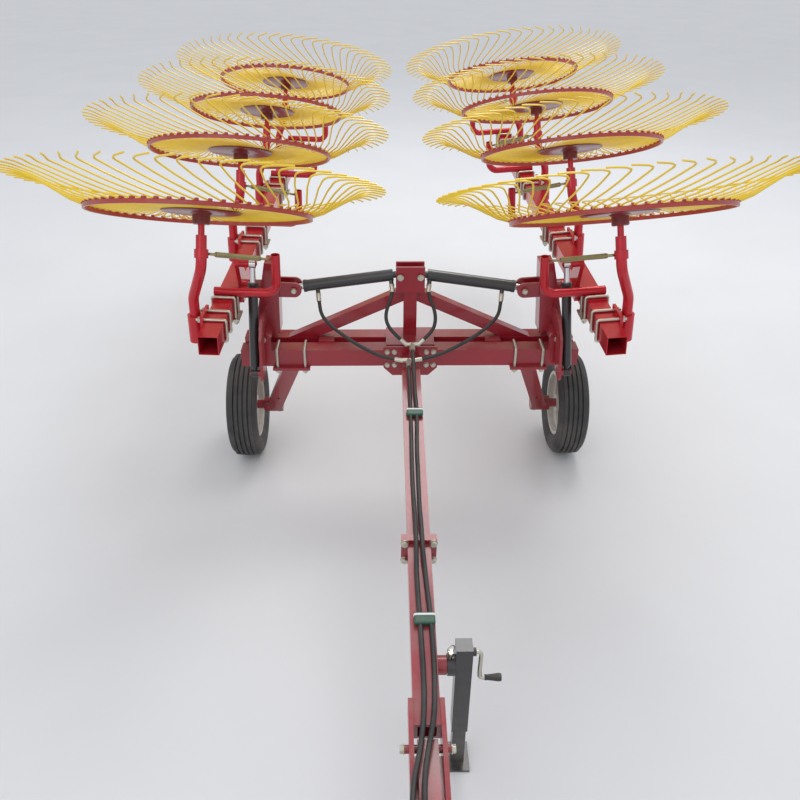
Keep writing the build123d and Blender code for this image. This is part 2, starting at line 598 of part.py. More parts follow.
def tower():
    """The tapered box, its hinge boss, the spread pivot's boss and the cylinders' lugs."""
    front, back = TOWER_Y - TOWER_DEPTH / 2, TOWER_Y + TOWER_DEPTH / 2
    wall = TOWER_WALL
    outline = [(TOWER_INNER_X, FOLD_Z - 12), (TOWER_INNER_X, TOWER_TOP_Z), (TOWER_TOP_X, TOWER_TOP_Z),
               (TOWER_FOOT_X, FOLD_Z + 30), (TOWER_FOOT_X - 12, FOLD_Z - 12)]
    inside = [(TOWER_INNER_X + wall, FOLD_Z - 20), (TOWER_INNER_X + wall, TOWER_TOP_Z - wall),
              (TOWER_TOP_X - wall, TOWER_TOP_Z - wall), (TOWER_FOOT_X - wall, FOLD_Z + 30),
              (TOWER_FOOT_X - wall - 12, FOLD_Z - 20)]
    shape = plate_xz(outline, (front, back)) - plate_xz(inside, (front + wall, back - wall))
    boss = (BAR_FRONT + FOLD_LUG + GAP, BAR_BACK - FOLD_LUG - GAP)
    shape += rod((FOLD_X, boss[0], FOLD_Z), (FOLD_X, boss[1], FOLD_Z), FOLD_BOSS_R)
    pivot_end = TOWER_FOOT_X - 8
    shape += rod((TOWER_INNER_X + wall / 2, TOWER_Y, SPREAD_Z), (pivot_end, TOWER_Y, SPREAD_Z), SPREAD_BOSS_R)
    gap = MAST_DEPTH / 2
    for inner, step in ((TOWER_Y - gap, -LIFT_LUG_PLATE), (TOWER_Y + gap, LIFT_LUG_PLATE)):
        faces = sorted((inner, inner + step))
        lug = block((LIFT_LUG_X, TOWER_INNER_X + 1), faces, (LIFT_LUG_Z - LIFT_LUG_R, LIFT_LUG_Z + LIFT_LUG_R))
        lug += rod((LIFT_LUG_X, faces[0], LIFT_LUG_Z), (LIFT_LUG_X, faces[1], LIFT_LUG_Z), LIFT_LUG_R)
        outer = inner + step
        head = sorted((outer, outer + math.copysign(PIN_HEAD, step)))
        shape += lug + rod((LIFT_LUG_X, head[0], LIFT_LUG_Z), (LIFT_LUG_X, head[1], LIFT_LUG_Z), PIN_HEAD_R - 4)
    shape -= rod((FOLD_X, boss[0] - 1, FOLD_Z), (FOLD_X, boss[1] + 1, FOLD_Z), FOLD_PIN_R + FIT)
    shape -= rod((TOWER_INNER_X + wall, TOWER_Y, SPREAD_Z), (pivot_end + 1, TOWER_Y, SPREAD_Z), SPREAD_PIN_R + FIT)
    over = FOLD_Z + FOLD_LUG_R + 8
    clear = FRONT_BAR_Y - LEG_PLATE_HALF[1] - 6
    reach = FOOT_PIN_Y - 30
    bracket = [(front + 1, over + 85), (front + 1, over), (clear, over), (clear, FOOT_PIN_Z - 20),
               (FOOT_PIN_Y + 16, FOOT_PIN_Z - 34), (FOOT_PIN_Y - 16, FOOT_PIN_Z - 34),
               (reach, FOOT_PIN_Z - 16), (reach, over + 12), (reach + 60, over + 85)]
    shape += plate_yz(bracket, (FOOT_BRACKET_X - FOOT_BRACKET, FOOT_BRACKET_X))
    pin_end = CRANK_LUG_X + SPREAD_EYE_WIDTH / 2 + 8
    shape += rod((FOOT_BRACKET_X - FOOT_BRACKET / 2, FOOT_PIN_Y, FOOT_PIN_Z), (pin_end, FOOT_PIN_Y, FOOT_PIN_Z),
                 FOOT_PIN_R)
    collar = CRANK_LUG_X - SPREAD_EYE_WIDTH / 2 - GAP / 2
    return shape + rod((FOOT_BRACKET_X, FOOT_PIN_Y, FOOT_PIN_Z), (collar, FOOT_PIN_Y, FOOT_PIN_Z), FOOT_PIN_R + 5)


def rake_beam():
    """The long square tube that carries the arms, with its pivot shaft and its crank lug."""
    length = BEAM_BACK_Y - BEAM_FRONT_Y
    tube = Box(BEAM, length, BEAM) - Box(BEAM - 2 * BEAM_WALL, length, BEAM - 2 * BEAM_WALL)
    shape = Pos(BEAM_X, BEAM_FRONT_Y + length / 2, SPREAD_Z) * tube
    shape = toed(shape)
    inner = BEAM_X - BEAM / 2
    pad = (inner - BEAM_PAD, inner + BEAM_WALL / 2)
    reach = 62.0
    outline = [(TOWER_Y - reach, SPREAD_Z - 40), (TOWER_Y + reach, SPREAD_Z - 40),
               (TOWER_Y + reach, SPREAD_Z + 36), (CRANK_LUG_Y + 24, CRANK_LUG_Z + 14),
               (CRANK_LUG_Y + 8, CRANK_LUG_Z + 24), (CRANK_LUG_Y - 12, CRANK_LUG_Z + 22),
               (CRANK_LUG_Y - 24, CRANK_LUG_Z), (TOWER_Y - reach - 22, SPREAD_Z + 60)]
    shape += plate_yz(outline, pad)
    shaft_start = TOWER_INNER_X + TOWER_WALL + GAP
    shape += rod((shaft_start, TOWER_Y, SPREAD_Z), (inner, TOWER_Y, SPREAD_Z), SPREAD_PIN_R)
    shape += rod((TOWER_FOOT_X - 8 + GAP, TOWER_Y, SPREAD_Z), (inner, TOWER_Y, SPREAD_Z), SPREAD_BOSS_R)
    eye = CRANK_LUG_X + SPREAD_EYE_WIDTH / 2 + GAP / 2
    tip = CRANK_LUG_X - SPREAD_EYE_WIDTH / 2 - 6
    shape += rod((eye, CRANK_LUG_Y, CRANK_LUG_Z), (inner - 1, CRANK_LUG_Y, CRANK_LUG_Z), CRANK_LUG_PIN_R + 8)
    shape += rod((tip, CRANK_LUG_Y, CRANK_LUG_Z), (inner - 1, CRANK_LUG_Y, CRANK_LUG_Z), CRANK_LUG_PIN_R)
    return shape


def toed(shape, toe=1.0):
    """Turns a piece of the rake beam in at its rear, about the pivot on the tower."""
    pivot = Pos(BEAM_X, TOWER_Y, 0)
    return pivot * Rot(0, 0, toe) * pivot.inverse() * shape


def hub_point(index):
    """Returns the centre of a rake wheel's ring, on the level beam."""
    return Vector(HUB_X, HUB_FIRST_Y + HUB_PITCH * index, HUB_Z)


def axle_direction():
    """Returns the direction of a rake wheel's axle, leaning back at its top."""
    lean = math.radians(WHEEL_RAKE)
    return Vector(0, math.sin(lean), math.cos(lean))


def arm(index):
    """One arm: its plate and bush on the beam, the cranked pipe, its collar and stub axle."""
    hub, axle = hub_point(index), axle_direction()
    y = hub.Y - BUSH_BACK
    outer = BEAM_X + BEAM / 2
    half_y, half_z = ARM_PLATE_HALF
    shape = block((outer, outer + ARM_PLATE), (y - half_y, y + half_y), (SPREAD_Z - half_z, SPREAD_Z + half_z))
    for step in (-ARM_U_SPACING, ARM_U_SPACING):
        for z in (SPREAD_Z - BEAM / 2 - U_REACH, SPREAD_Z + BEAM / 2 + U_REACH):
            shape -= rod((outer, y + step, z), (outer + ARM_PLATE, y + step, z), U_BOLT_R + 1)
    shape += block((outer, BUSH_X), (y - 20, y + 20), (BUSH_Z[0] + 10, BUSH_Z[1] - 10))
    shape += rod((BUSH_X, y, BUSH_Z[0]), (BUSH_X, y, BUSH_Z[1]), BUSH_R)
    shape -= rod((BUSH_X, y, BUSH_Z[0]), (BUSH_X, y, BUSH_Z[1] - 20), BUSH_R - 8)
    top = hub - axle * STUB_BARE
    upper = hub - axle * (STUB_BARE + 125)
    points = [(BUSH_X, y, BUSH_Z[1] - 10), (BUSH_X, y, BUSH_Z[1] + 75), tuple(upper), tuple(top)]
    shape += bent_pipe(points, [70, 70], ARM_R, ARM_BORE_R)
    shape += rod(tuple(top - axle * 12), tuple(hub + axle * STUB_TOP), STUB_R)
    shape += rod(tuple(top - axle * 12), tuple(top), ARM_R - 1)
    middle = hub - axle * (STUB_BARE + 70)
    return shape + rod(tuple(middle - axle * COLLAR_WIDTH / 2), tuple(middle + axle * COLLAR_WIDTH / 2), COLLAR_R)


def arm_u_bolts(index):
    """The two U-bolts round the beam that hold one arm's plate, their nuts outside the plate."""
    pieces = []
    y = hub_point(index).Y - BUSH_BACK
    reach = BEAM / 2 + U_REACH
    inner, plate = BEAM_X - reach, BEAM_X + BEAM / 2 + ARM_PLATE
    for step in (-ARM_U_SPACING, ARM_U_SPACING):
        ends = [(plate + U_NUT + 8, SPREAD_Z + reach), (inner, SPREAD_Z + reach),
                (inner, SPREAD_Z - reach), (plate + U_NUT + 8, SPREAD_Z - reach)]
        bolt = bent_pipe([(x, y + step, z) for x, z in ends], [U_BEND, U_BEND], U_BOLT_R, 0)
        for z in (SPREAD_Z - reach, SPREAD_Z + reach):
            bolt += rod((plate + FIT, y + step, z), (plate + FIT + U_NUT, y + step, z), U_NUT_R)
        pieces.append(bolt)
    return pieces


def post_u_bolts(index):
    """The two U-bolts over a post's saddle, with their nuts on a strap under the beam."""
    pieces = []
    y = hub_point(index).Y + POST_BACK
    reach = BEAM / 2 + U_REACH
    low, top = SPREAD_Z - BEAM / 2 - SADDLE, SPREAD_Z + BEAM / 2 + SADDLE + U_REACH
    strap = block((BEAM_X - reach - 16, BEAM_X + reach + 16), (y - SADDLE_HALF, y + SADDLE_HALF),
                  (low, low + SADDLE - FIT))
    for step in (-POST_U_SPACING, POST_U_SPACING):
        inner, outer = BEAM_X - reach, BEAM_X + reach
        path = [(inner, low - U_NUT - 8), (inner, top), (outer, top), (outer, low - U_NUT - 8)]
        bolt = bent_pipe([(x, y + step, z) for x, z in path], [U_BEND, U_BEND], U_BOLT_R, 0)
        for x in (inner, outer):
            bolt += rod((x, y + step, low - U_NUT - FIT), (x, y + step, low - FIT), U_NUT_R)
            strap -= rod((x, y + step, low), (x, y + step, low + SADDLE), U_BOLT_R + 1)
        pieces.append(bolt)
    return pieces + [strap]


def spring_post(index):
    """One post: a bent pipe on a saddle across the top of the beam, that rises inboard of it."""
    y = hub_point(index).Y + POST_BACK
    top = SPREAD_Z + BEAM / 2
    z = top + SADDLE + POST_R + POST_WALL / 2
    points = [(POST_END_X, y, z), (POST_X, y, z), (POST_X, y, POST_TOP_Z)]
    shape = bent_pipe(points, [POST_BEND], POST_R, POST_BORE_R)
    saddle = block((BEAM_X - BEAM / 2, BEAM_X + BEAM / 2), (y - SADDLE_HALF, y + SADDLE_HALF), (top, top + SADDLE))
    web = block((BEAM_X - BEAM / 2 + 6, BEAM_X + BEAM / 2 - 6), (y - 12, y + 12), (top + SADDLE - 1, z - 12))
    web -= rod((0, y, z), (2 * BEAM_X, y, z), POST_R - POST_WALL / 2)
    return shape + saddle + web


def spring(index):
    """One spring: from the arm's collar to the top of its post."""
    hub, axle = hub_point(index), axle_direction()
    start = hub - axle * (STUB_BARE + 70)
    start = Vector(start.X - COLLAR_R, start.Y, start.Z)
    end = Vector(POST_X + POST_R, hub.Y + POST_BACK, POST_TOP_Z - 22)
    inner, outer = along(start, end, 34), along(start, end, (end - start).length - 60)
    shape = rod(tuple(inner), tuple(outer), SPRING_R) + rod(tuple(start), tuple(end), SPRING_R / 2)
    middle = hub - axle * (STUB_BARE + 70)
    shape -= rod(tuple(middle - axle * COLLAR_WIDTH), tuple(middle + axle * COLLAR_WIDTH), COLLAR_R + FIT)
    return shape - rod((POST_X, end.Y, 0), (POST_X, end.Y, 2 * POST_TOP_Z), POST_R + FIT)


def tine():
    """One tine: a wire from the hub plate over the ring, then up a swept shank to its tip."""
    top = HUB_PLATE / 2 + TINE_R / 2
    begin = math.sqrt(TINE_START_R ** 2 - TINE_TANGENT_R ** 2)
    reach = math.sqrt(RING_R ** 2 - TINE_TANGENT_R ** 2) + TINE_LAP
    start, ring = Vector(TINE_TANGENT_R, -begin, top), Vector(TINE_TANGENT_R, -reach, top)
    out = Vector(ring.X, ring.Y, 0).normalized()
    around = Vector(out.Y, -out.X, 0)
    bend = ring + out * SHANK_OUT + around * SHANK_SWEEP + Vector(0, 0, SHANK_RISE)
    flat = Vector(bend.X, bend.Y, 0)
    tip = bend + flat.normalized() * (TIP_R - flat.length) + Vector(0, 0, TIP_RISE)
    path = Polyline(start, ring, bend, tip)
    section = Plane(origin=path @ 0, z_dir=path % 0, x_dir=(0, 0, 1)) * RegularPolygon(TINE_R, 3)
    return sweep(section, path=path, transition=Transition.RIGHT)


def rake_wheel():
    """One rake wheel about the Z axis: its hub, hub plate and ring, with the tines on them."""
    hub = Pos(0, 0, (WHEEL_HUB_ABOVE - WHEEL_HUB_BELOW) / 2) * Cylinder(
        WHEEL_HUB_R, WHEEL_HUB_ABOVE + WHEEL_HUB_BELOW)
    hub += Pos(0, 0, -HUB_PLATE / 2) * extrude(RegularPolygon(HUB_PLATE_R, TINE_COUNT), HUB_PLATE)
    hub -= Cylinder(STUB_R + FIT, 4 * WHEEL_HUB_BELOW)
    face = RegularPolygon(RING_R + RING_WIDTH / 2, TINE_COUNT)
    face -= RegularPolygon(RING_R - RING_WIDTH / 2, TINE_COUNT)
    ring = Pos(0, 0, HUB_PLATE / 2 - RING_HEIGHT) * extrude(face, RING_HEIGHT)
    wire = tine()
    tines = [Rot(0, 0, 360 * i / TINE_COUNT) * wire for i in range(TINE_COUNT)]
    return (hub + ring).fuse(*tines)


def cylinder(start, end, barrel, bar, eye, width, stroke, pin, mouth_gap, pin_end):
    """A hydraulic cylinder between two pins: returns its barrel and its rod.

    Its pins run along Y before it is turned, the barrel starts at the first pin, and the rod's
    eye lies on the second one."""
    start, end = Vector(*start), Vector(*end)
    length = (end - start).length
    mouth = length - mouth_gap
    tube_start = BARREL_START
    outer = Cylinder(barrel, mouth - tube_start - GLAND, align=(Align.CENTER, Align.CENTER, Align.MIN))
    body = Pos(0, 0, tube_start) * outer
    body += Pos(0, 0, mouth - GLAND) * Cylinder(barrel + 2, GLAND, align=(Align.CENTER, Align.CENTER, Align.MIN))
    body += Rot(90, 0, 0) * Cylinder(eye, width)
    body += Cylinder(bar, tube_start + 1, align=(Align.CENTER, Align.CENTER, Align.MIN))
    bottom = tube_start + eye
    body -= Pos(0, 0, bottom) * Cylinder(bar + FIT, length, align=(Align.CENTER, Align.CENTER, Align.MIN))
    body -= Rot(90, 0, 0) * Cylinder(pin + FIT, 2 * width)
    reach = min(stroke + 3 * barrel, mouth - bottom + eye)
    piston = Pos(0, 0, length - reach) * Cylinder(bar, reach - eye / 2, align=(Align.CENTER, Align.CENTER, Align.MIN))
    piston += Pos(0, 0, length) * Rot(90, 0, 0) * Cylinder(eye, width)
    if pin_end:
        piston -= Pos(0, 0, length) * Rot(90, 0, 0) * Cylinder(pin_end, 2 * width)
    return body, piston


def lift_frame(lug):
    """Returns a lift cylinder's placement: its length along Z, and X under it."""
    start, end = Vector(MAST_PIN_X, MAST_Y, MAST_PIN_Z), Vector(*lug)
    return Plane(origin=start, x_dir=(end - start).cross(Vector(0, 1, 0)) * -1, z_dir=end - start).location


def lift_cylinder(lug):
    """The cylinder from the mast's pin to the tower's lug, where its eye has no pin in it."""
    start = (MAST_PIN_X, MAST_Y, MAST_PIN_Z)
    barrel, piston = cylinder(start, lug, LIFT_BARREL_R, LIFT_ROD_R, LIFT_EYE_R, LIFT_EYE_WIDTH,
                              LIFT_STROKE, MAST_PIN_R, LIFT_LUG_R + 8, None)
    down, forward = PORT_LEAN
    inside, outside = LIFT_BARREL_R - 3, LIFT_BARREL_R + PORT_LENGTH
    for place in PORT_PLACES.values():
        barrel += rod((inside * down, inside * forward, place), (outside * down, outside * forward, place), PORT_R)
    return [lift_frame(lug) * piece for piece in (barrel, piston)]


def spread_cylinder(lug):
    """The cylinder from the tower's foot pin to the rake beam's crank lug."""
    start, end = Vector(CRANK_LUG_X, FOOT_PIN_Y, FOOT_PIN_Z), Vector(*lug)
    aim = Plane(origin=start, x_dir=(end - start).cross(Vector(1, 0, 0)), z_dir=end - start)
    pieces = cylinder(start, end, SPREAD_BARREL_R, SPREAD_ROD_R, SPREAD_EYE_R, SPREAD_EYE_WIDTH,
                      SPREAD_STROKE, FOOT_PIN_R, SPREAD_EYE_R + SPREAD_STROKE, 2 * CRANK_LUG_PIN_R)
    return [aim.location * piece for piece in pieces]


def hose(points):
    """Returns a hose's tube: straight runs joined by arcs as wide as the runs allow."""
    points = [Vector(*point) for point in points]
    radii = []
    for before, corner, after in zip(points, points[1:], points[2:]):
        turn = math.radians((corner - before).get_angle(after - corner))
        shorter = min((corner - before).length, (after - corner).length)
        radii.append(0.45 * shorter / math.tan(turn / 2))
    print("hose radii", [round(radius) for radius in radii])
    return bent_pipe([tuple(point) for point in points], radii, HOSE_R, 0)


def swept_ferrule(tee, side):
    """Returns the start and the end of the ferrule on one side of a tee."""
    x, y, z = TEES[tee]["centre"]
    out = Vector(*TEES[tee]["swept"]).normalized()
    start = Vector(x + side * TEE_HALF, y, z)
    return start, start + Vector(side * out.X, out.Y, out.Z) * FERRULE


def tees():
    """The two tees at the drawbar's rear end, with the ferrules of the hoses that meet there."""
    pieces = []
    for tee in TEES:
        x, y, z = TEES[tee]["centre"]
        front = (x, y - TEE_HALF - FERRULE, z)
        shape = rod((x - TEE_HALF, y, z), (x + TEE_HALF, y, z), TEE_R) + rod((x, y, z), front, FERRULE_R)
        shape += rod((x, y, z), (x, y - TEE_HALF, z), TEE_R)
        for side in (-1, 1):
            start, end = swept_ferrule(tee, side)
            shape += rod(tuple(start - (end - start).normalized() * 5), tuple(end), FERRULE_R)
        pieces.append(shape)
    x, y, z = TEES["upper"]["centre"]
    seat = BAR_FRONT - EAR_PLATE
    upper = pieces[0] + block((x - 14, x + 14), (y + TEE_R / 2, seat), (DRAW_TOP_Z + DRAW / 2 + 24, z))
    x, y, z = TEES["lower"]["centre"]
    rise = [(y + 40, drawbar_z(y + 40) + DRAW_RISE), (y - 40, drawbar_z(y - 40) + DRAW_RISE),
            (y - 40, 0), (y + 40, 0)]
    foot = block((x - 10, x + 10), (y - 10, y + 10), (TONGUE_Z, z)) - plate_yz(rise, (x - 20, x + 20))
    return [upper, pieces[1] + foot]


def couplers():
    """The parking plate on the tongue, with the two quick couplers at the hoses' front ends."""
    y, top = COUPLER_Y, TONGUE_Z + TONGUE / 2
    places = [x for x, _ in COUPLER_PLACES]
    plate = block((min(places) - COUPLER_R - 3, max(places) + COUPLER_R + 3), (y, y + PARK_PLATE),
                  (top, COUPLER_PLACES[0][1] + COUPLER_R + 4))
    pieces = []
    for x, z in COUPLER_PLACES:
        plate -= rod((x, y, z), (x, y + PARK_PLATE, z), FERRULE_R + FIT)
        body = rod((x, y + PARK_PLATE, z), (x, y + COUPLER - FERRULE, z), COUPLER_R)
        pieces.append(body + rod((x, y - 22, z), (x, y + COUPLER, z), FERRULE_R))
    return [plate] + pieces


def main_hoses():
    """Returns the two hoses along the drawbar, from a tee's front to a coupler."""
    hoses = {}
    for number, ((tee, on_top, on_tongue), (end_x, end_z)) in enumerate(zip(MAIN_HOSES, COUPLER_PLACES), 1):
        x, y, z = TEES[tee]["centre"]
        start = y - TEE_HALF - FERRULE
        points = [(x, start, z), (x, start - 70, z)]
        points += [(x, y, drawbar_z(y) + DRAW_RISE + rise) for x, y, rise in on_top]
        points += on_tongue + [(end_x, COUPLER_Y + COUPLER, end_z)]
        hoses[f"main_hose_{number}"] = hose(points)
    return hoses


def lift_hose(side, end, lug):
    """Returns the hose between a lift cylinder's port and its tee, for the side it is on."""
    start = Vector(MAST_PIN_X, MAST_Y, MAST_PIN_Z)
    frame = lift_frame(lug)
    down, forward = PORT_LEAN
    reach = LIFT_BARREL_R + PORT_LENGTH + PORT_GAP
    place = PORT_PLACES[end]
    port = (frame * Pos(reach * down, reach * forward, place)).position
    straight = (frame * Pos((reach + 47) * down, (reach + 47) * forward, place)).position
    flip = -1 if side == "left" else 1
    tee = "upper" if end == "inner" else "lower"
    points = [(flip * point.X, point.Y, point.Z) for point in (port, straight)]
    inside, mouth = swept_ferrule(tee, flip)
    last = mouth + (mouth - inside).normalized() * PORT_GAP
    return hose(points + LIFT_HOSES[side, end] + [tuple(last)])


def on_tower(side):
    """Returns the placement of a side's upright tower, leaning inwards about the fold hinge."""
    hinge = Pos(FOLD_X, 0, FOLD_Z)
    return hinge * Rot(0, -SIDES[side]["lean"], 0) * hinge.inverse()


def on_beam(side):
    """Returns the placement of a side's level rake beam, drooping about its pivot."""
    pivot = Pos(0, TOWER_Y, SPREAD_Z)
    return on_tower(side) * pivot * Rot(SIDES[side]["droop"], 0, 0) * pivot.inverse()


def side_pieces(side):
    """Returns the named pieces of one side, in place and on that side of the machine."""
    tower_place, beam_place = on_tower(side), on_beam(side)
    lift_lug = (tower_place * Pos(LIFT_LUG_X, TOWER_Y, LIFT_LUG_Z)).position
    crank_lug = (tower_place.inverse() * beam_place * Pos(CRANK_LUG_X, CRANK_LUG_Y, CRANK_LUG_Z)).position
    pieces = {
        "axle_leg": axle_leg(),
        "tyre": tyre(),
        "rim": rim(),
        "tower": tower_place * tower(),
        "rake_beam": beam_place * rake_beam(),
        "arms": beam_place * toed(Compound(children=[arm(i) for i in range(WHEEL_COUNT)])),
        "spring_posts": beam_place * toed(Compound(children=[spring_post(i) for i in range(WHEEL_COUNT)])),
        "springs": beam_place * toed(Compound(children=[spring(i) for i in range(WHEEL_COUNT)])),
    }
    wheel = rake_wheel()
    for index in range(WHEEL_COUNT):
        hub = hub_point(index)
        place = beam_place * toed(Pos(hub.X, hub.Y, hub.Z) * Rot(-WHEEL_RAKE, 0, 0))
        pieces[f"rake_wheel_{index + 1}"] = place * wheel
    bolts = [piece for i in range(WHEEL_COUNT) for piece in arm_u_bolts(i) + post_u_bolts(i)]
    pieces["u_bolts"] = beam_place * toed(Compound(children=bolts))
    pieces["lift_barrel"], pieces["lift_rod"] = lift_cylinder(lift_lug)
    barrel, piston = spread_cylinder(crank_lug)
    pieces["spread_barrel"], pieces["spread_rod"] = tower_place * barrel, tower_place * piston
    if side == "left":
        pieces = {name: mirror(piece, about=Plane.YZ) for name, piece in pieces.items()}
    for end in PORT_PLACES:
        pieces[f"{end}_hose"] = lift_hose(side, end, lift_lug)
    return {f"{side}_{name}": piece for name, piece in pieces.items()}


def machine():
    """Returns every piece of the machine by its name, with the hitch pin at the origin."""
    pieces = {
        "crossbeam": crossbeam(),
        "mast": mast(),
        "drawbar_rear": drawbar_rear(),
        "drawbar_front": drawbar_front(),
        "hitch": hitch(),
        "jack_tube": jack_tube(),
        "jack_crank": jack_crank(),
        "jack_leg": jack_leg(),
    }
    bolts = leg_u_bolts()
    bolts += [mirror(bolt, about=Plane.YZ) for bolt in bolts]
    pieces["leg_u_bolts"] = Compound(children=bolts)
    pieces["hydraulic_tees"] = Compound(children=tees())
    pieces["couplers"] = Compound(children=couplers())
    pieces.update(main_hoses())
    for side in SIDES:
        pieces.update(side_pieces(side))
    shift = Pos(*HITCH).inverse()
    return {name: shift * piece for name, piece in pieces.items()}


os.makedirs("parts", exist_ok=True)
for node, shape in machine().items():
    export_step(shape, f"parts/{node}.step")
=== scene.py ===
"""The looks of a towed V wheel rake in its transport pose, on a pale floor.

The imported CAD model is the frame: metres, the hitch pin's centre at the origin, -Y towards the
tractor, +Z up. Pieces of a side are worked out for the side at +X and turned over for the other.
"""
import json
import logging
import math
from dataclasses import dataclass, field
from enum import Enum
from typing import Callable, Iterable, Sequence

import bpy
from mathutils import Matrix, Vector

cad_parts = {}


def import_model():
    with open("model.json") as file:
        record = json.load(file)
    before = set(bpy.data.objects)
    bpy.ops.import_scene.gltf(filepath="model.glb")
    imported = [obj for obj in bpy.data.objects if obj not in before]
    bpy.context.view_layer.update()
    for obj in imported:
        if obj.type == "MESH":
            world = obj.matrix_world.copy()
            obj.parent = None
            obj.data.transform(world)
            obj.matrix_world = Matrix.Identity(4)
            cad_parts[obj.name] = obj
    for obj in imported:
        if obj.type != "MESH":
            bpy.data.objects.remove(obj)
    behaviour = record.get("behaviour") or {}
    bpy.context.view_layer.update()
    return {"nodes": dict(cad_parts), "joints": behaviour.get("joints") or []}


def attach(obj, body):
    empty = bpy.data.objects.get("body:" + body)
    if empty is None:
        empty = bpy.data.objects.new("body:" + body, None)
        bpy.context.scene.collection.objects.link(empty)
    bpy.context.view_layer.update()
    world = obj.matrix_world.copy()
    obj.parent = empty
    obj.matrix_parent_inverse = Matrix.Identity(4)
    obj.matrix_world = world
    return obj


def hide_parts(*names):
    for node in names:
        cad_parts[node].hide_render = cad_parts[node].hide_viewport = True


LOG = logging.getLogger("wheel_rake")
Point = tuple[float, float, float]

# The floor's height and the hitch pin's place ahead of the crossbeam, in metres.
GROUND, HITCH_Y = -0.430, -2.450
# The rake wheels of one side: how many, and their stations along the beam in millimetres.
RAKE_WHEELS, FIRST_HUB, HUB_PITCH = 4, -300.0, 880.0
# How steeply the drawbar runs down to the hitch, and where it starts under the crossbeam.
DRAWBAR_SLOPE, DRAWBAR_Y, DRAWBAR_Z = math.radians(8.7), -83.0, 715.0
# The colour sockets of a Mix node: both inputs and the result.
MIX_FIRST, MIX_SECOND, MIX_RESULT = 6, 7, 2


class Side(Enum):
    """The two sides of the machine, as seen from its hitch."""

    LEFT = "left"
    RIGHT = "right"

    @property
    def flip(self) -> float:
        """The sign of X on this side."""
        return -1.0 if self is Side.LEFT else 1.0


class Axis(Enum):
    """Directions that heads and nuts point in."""

    OUT = (1.0, 0.0, 0.0)
    IN = (-1.0, 0.0, 0.0)
    FRONT = (0.0, -1.0, 0.0)
    DOWN = (0.0, 0.0, -1.0)


def machine(x: float, y: float, z: float) -> Vector:
    """Turns millimetres measured from the crossbeam and the ground into the frame's metres.

    Args:
        x: Distance to the right.
        y: Distance behind the crossbeam.
        z: Height over the ground.

    Returns:
        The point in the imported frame.
    """
    return Vector((x / 1000, y / 1000 - HITCH_Y, z / 1000 + GROUND))


# ---- shader groups


def socket(group: bpy.types.NodeTree, name: str, kind: str, output: bool = False,
           value: object = None) -> None:
    """Adds one socket to a shader group.

    Args:
        group: The group that gets it.
        name: The socket's name.
        kind: Float, Color or Vector.
        output: True for an output.
        value: Its value while nothing is linked to it.
    """
    way = "OUTPUT" if output else "INPUT"
    made = group.interface.new_socket(name, in_out=way, socket_type=f"NodeSocket{kind}")
    if value is not None:
        made.default_value = value


def road_dust() -> bpy.types.NodeTree:
    """Builds the group that lays dust on faces that look up and on what is near the ground.

    Returns:
        A group from a colour to the dusted colour and the dust's mask.
    """
    if "road_dust" in bpy.data.node_groups:
        return bpy.data.node_groups["road_dust"]
    group = bpy.data.node_groups.new("road_dust", "ShaderNodeTree")
    socket(group, "Vector", "Vector")
    socket(group, "Color", "Color", value=(0.5, 0.5, 0.5, 1))
    socket(group, "Dust", "Color", value=(0.30, 0.26, 0.21, 1))
    socket(group, "Upward", "Float", value=0.3)
    socket(group, "Low", "Float", value=0.3)
    socket(group, "Scale", "Float", value=9.0)
    socket(group, "Color", "Color", output=True)
    socket(group, "Mask", "Float", output=True)
    nodes, links = group.nodes, group.links
    begin, end = nodes.new("NodeGroupInput"), nodes.new("NodeGroupOutput")
    noise = nodes.new("ShaderNodeTexNoise")
    noise.inputs["Detail"].default_value = 6.0
    noise.inputs["Roughness"].default_value = 0.62
    links.new(begin.outputs["Vector"], noise.inputs["Vector"])
    links.new(begin.outputs["Scale"], noise.inputs["Scale"])
    patches = ranged(group, noise.outputs["Fac"], 0.38, 0.72)
    facing = nodes.new("ShaderNodeNewGeometry")
    split = nodes.new("ShaderNodeSeparateXYZ")
    links.new(facing.outputs["Normal"], split.inputs["Vector"])
    looks_up = ranged(group, split.outputs["Z"], 0.35, 0.95)
    upward = sum_of(group, "MULTIPLY", looks_up, begin.outputs["Upward"])
    place = nodes.new("ShaderNodeSeparateXYZ")
    links.new(begin.outputs["Vector"], place.inputs["Vector"])
    near_ground = ranged(group, place.outputs["Z"], 0.15, GROUND)
    low = sum_of(group, "MULTIPLY", near_ground, begin.outputs["Low"])
    both = sum_of(group, "MULTIPLY", sum_of(group, "ADD", upward, low), patches)
    links.new(mixed(group, both, begin.outputs["Color"], begin.outputs["Dust"]), end.inputs["Color"])
    links.new(both, end.inputs["Mask"])
    return group


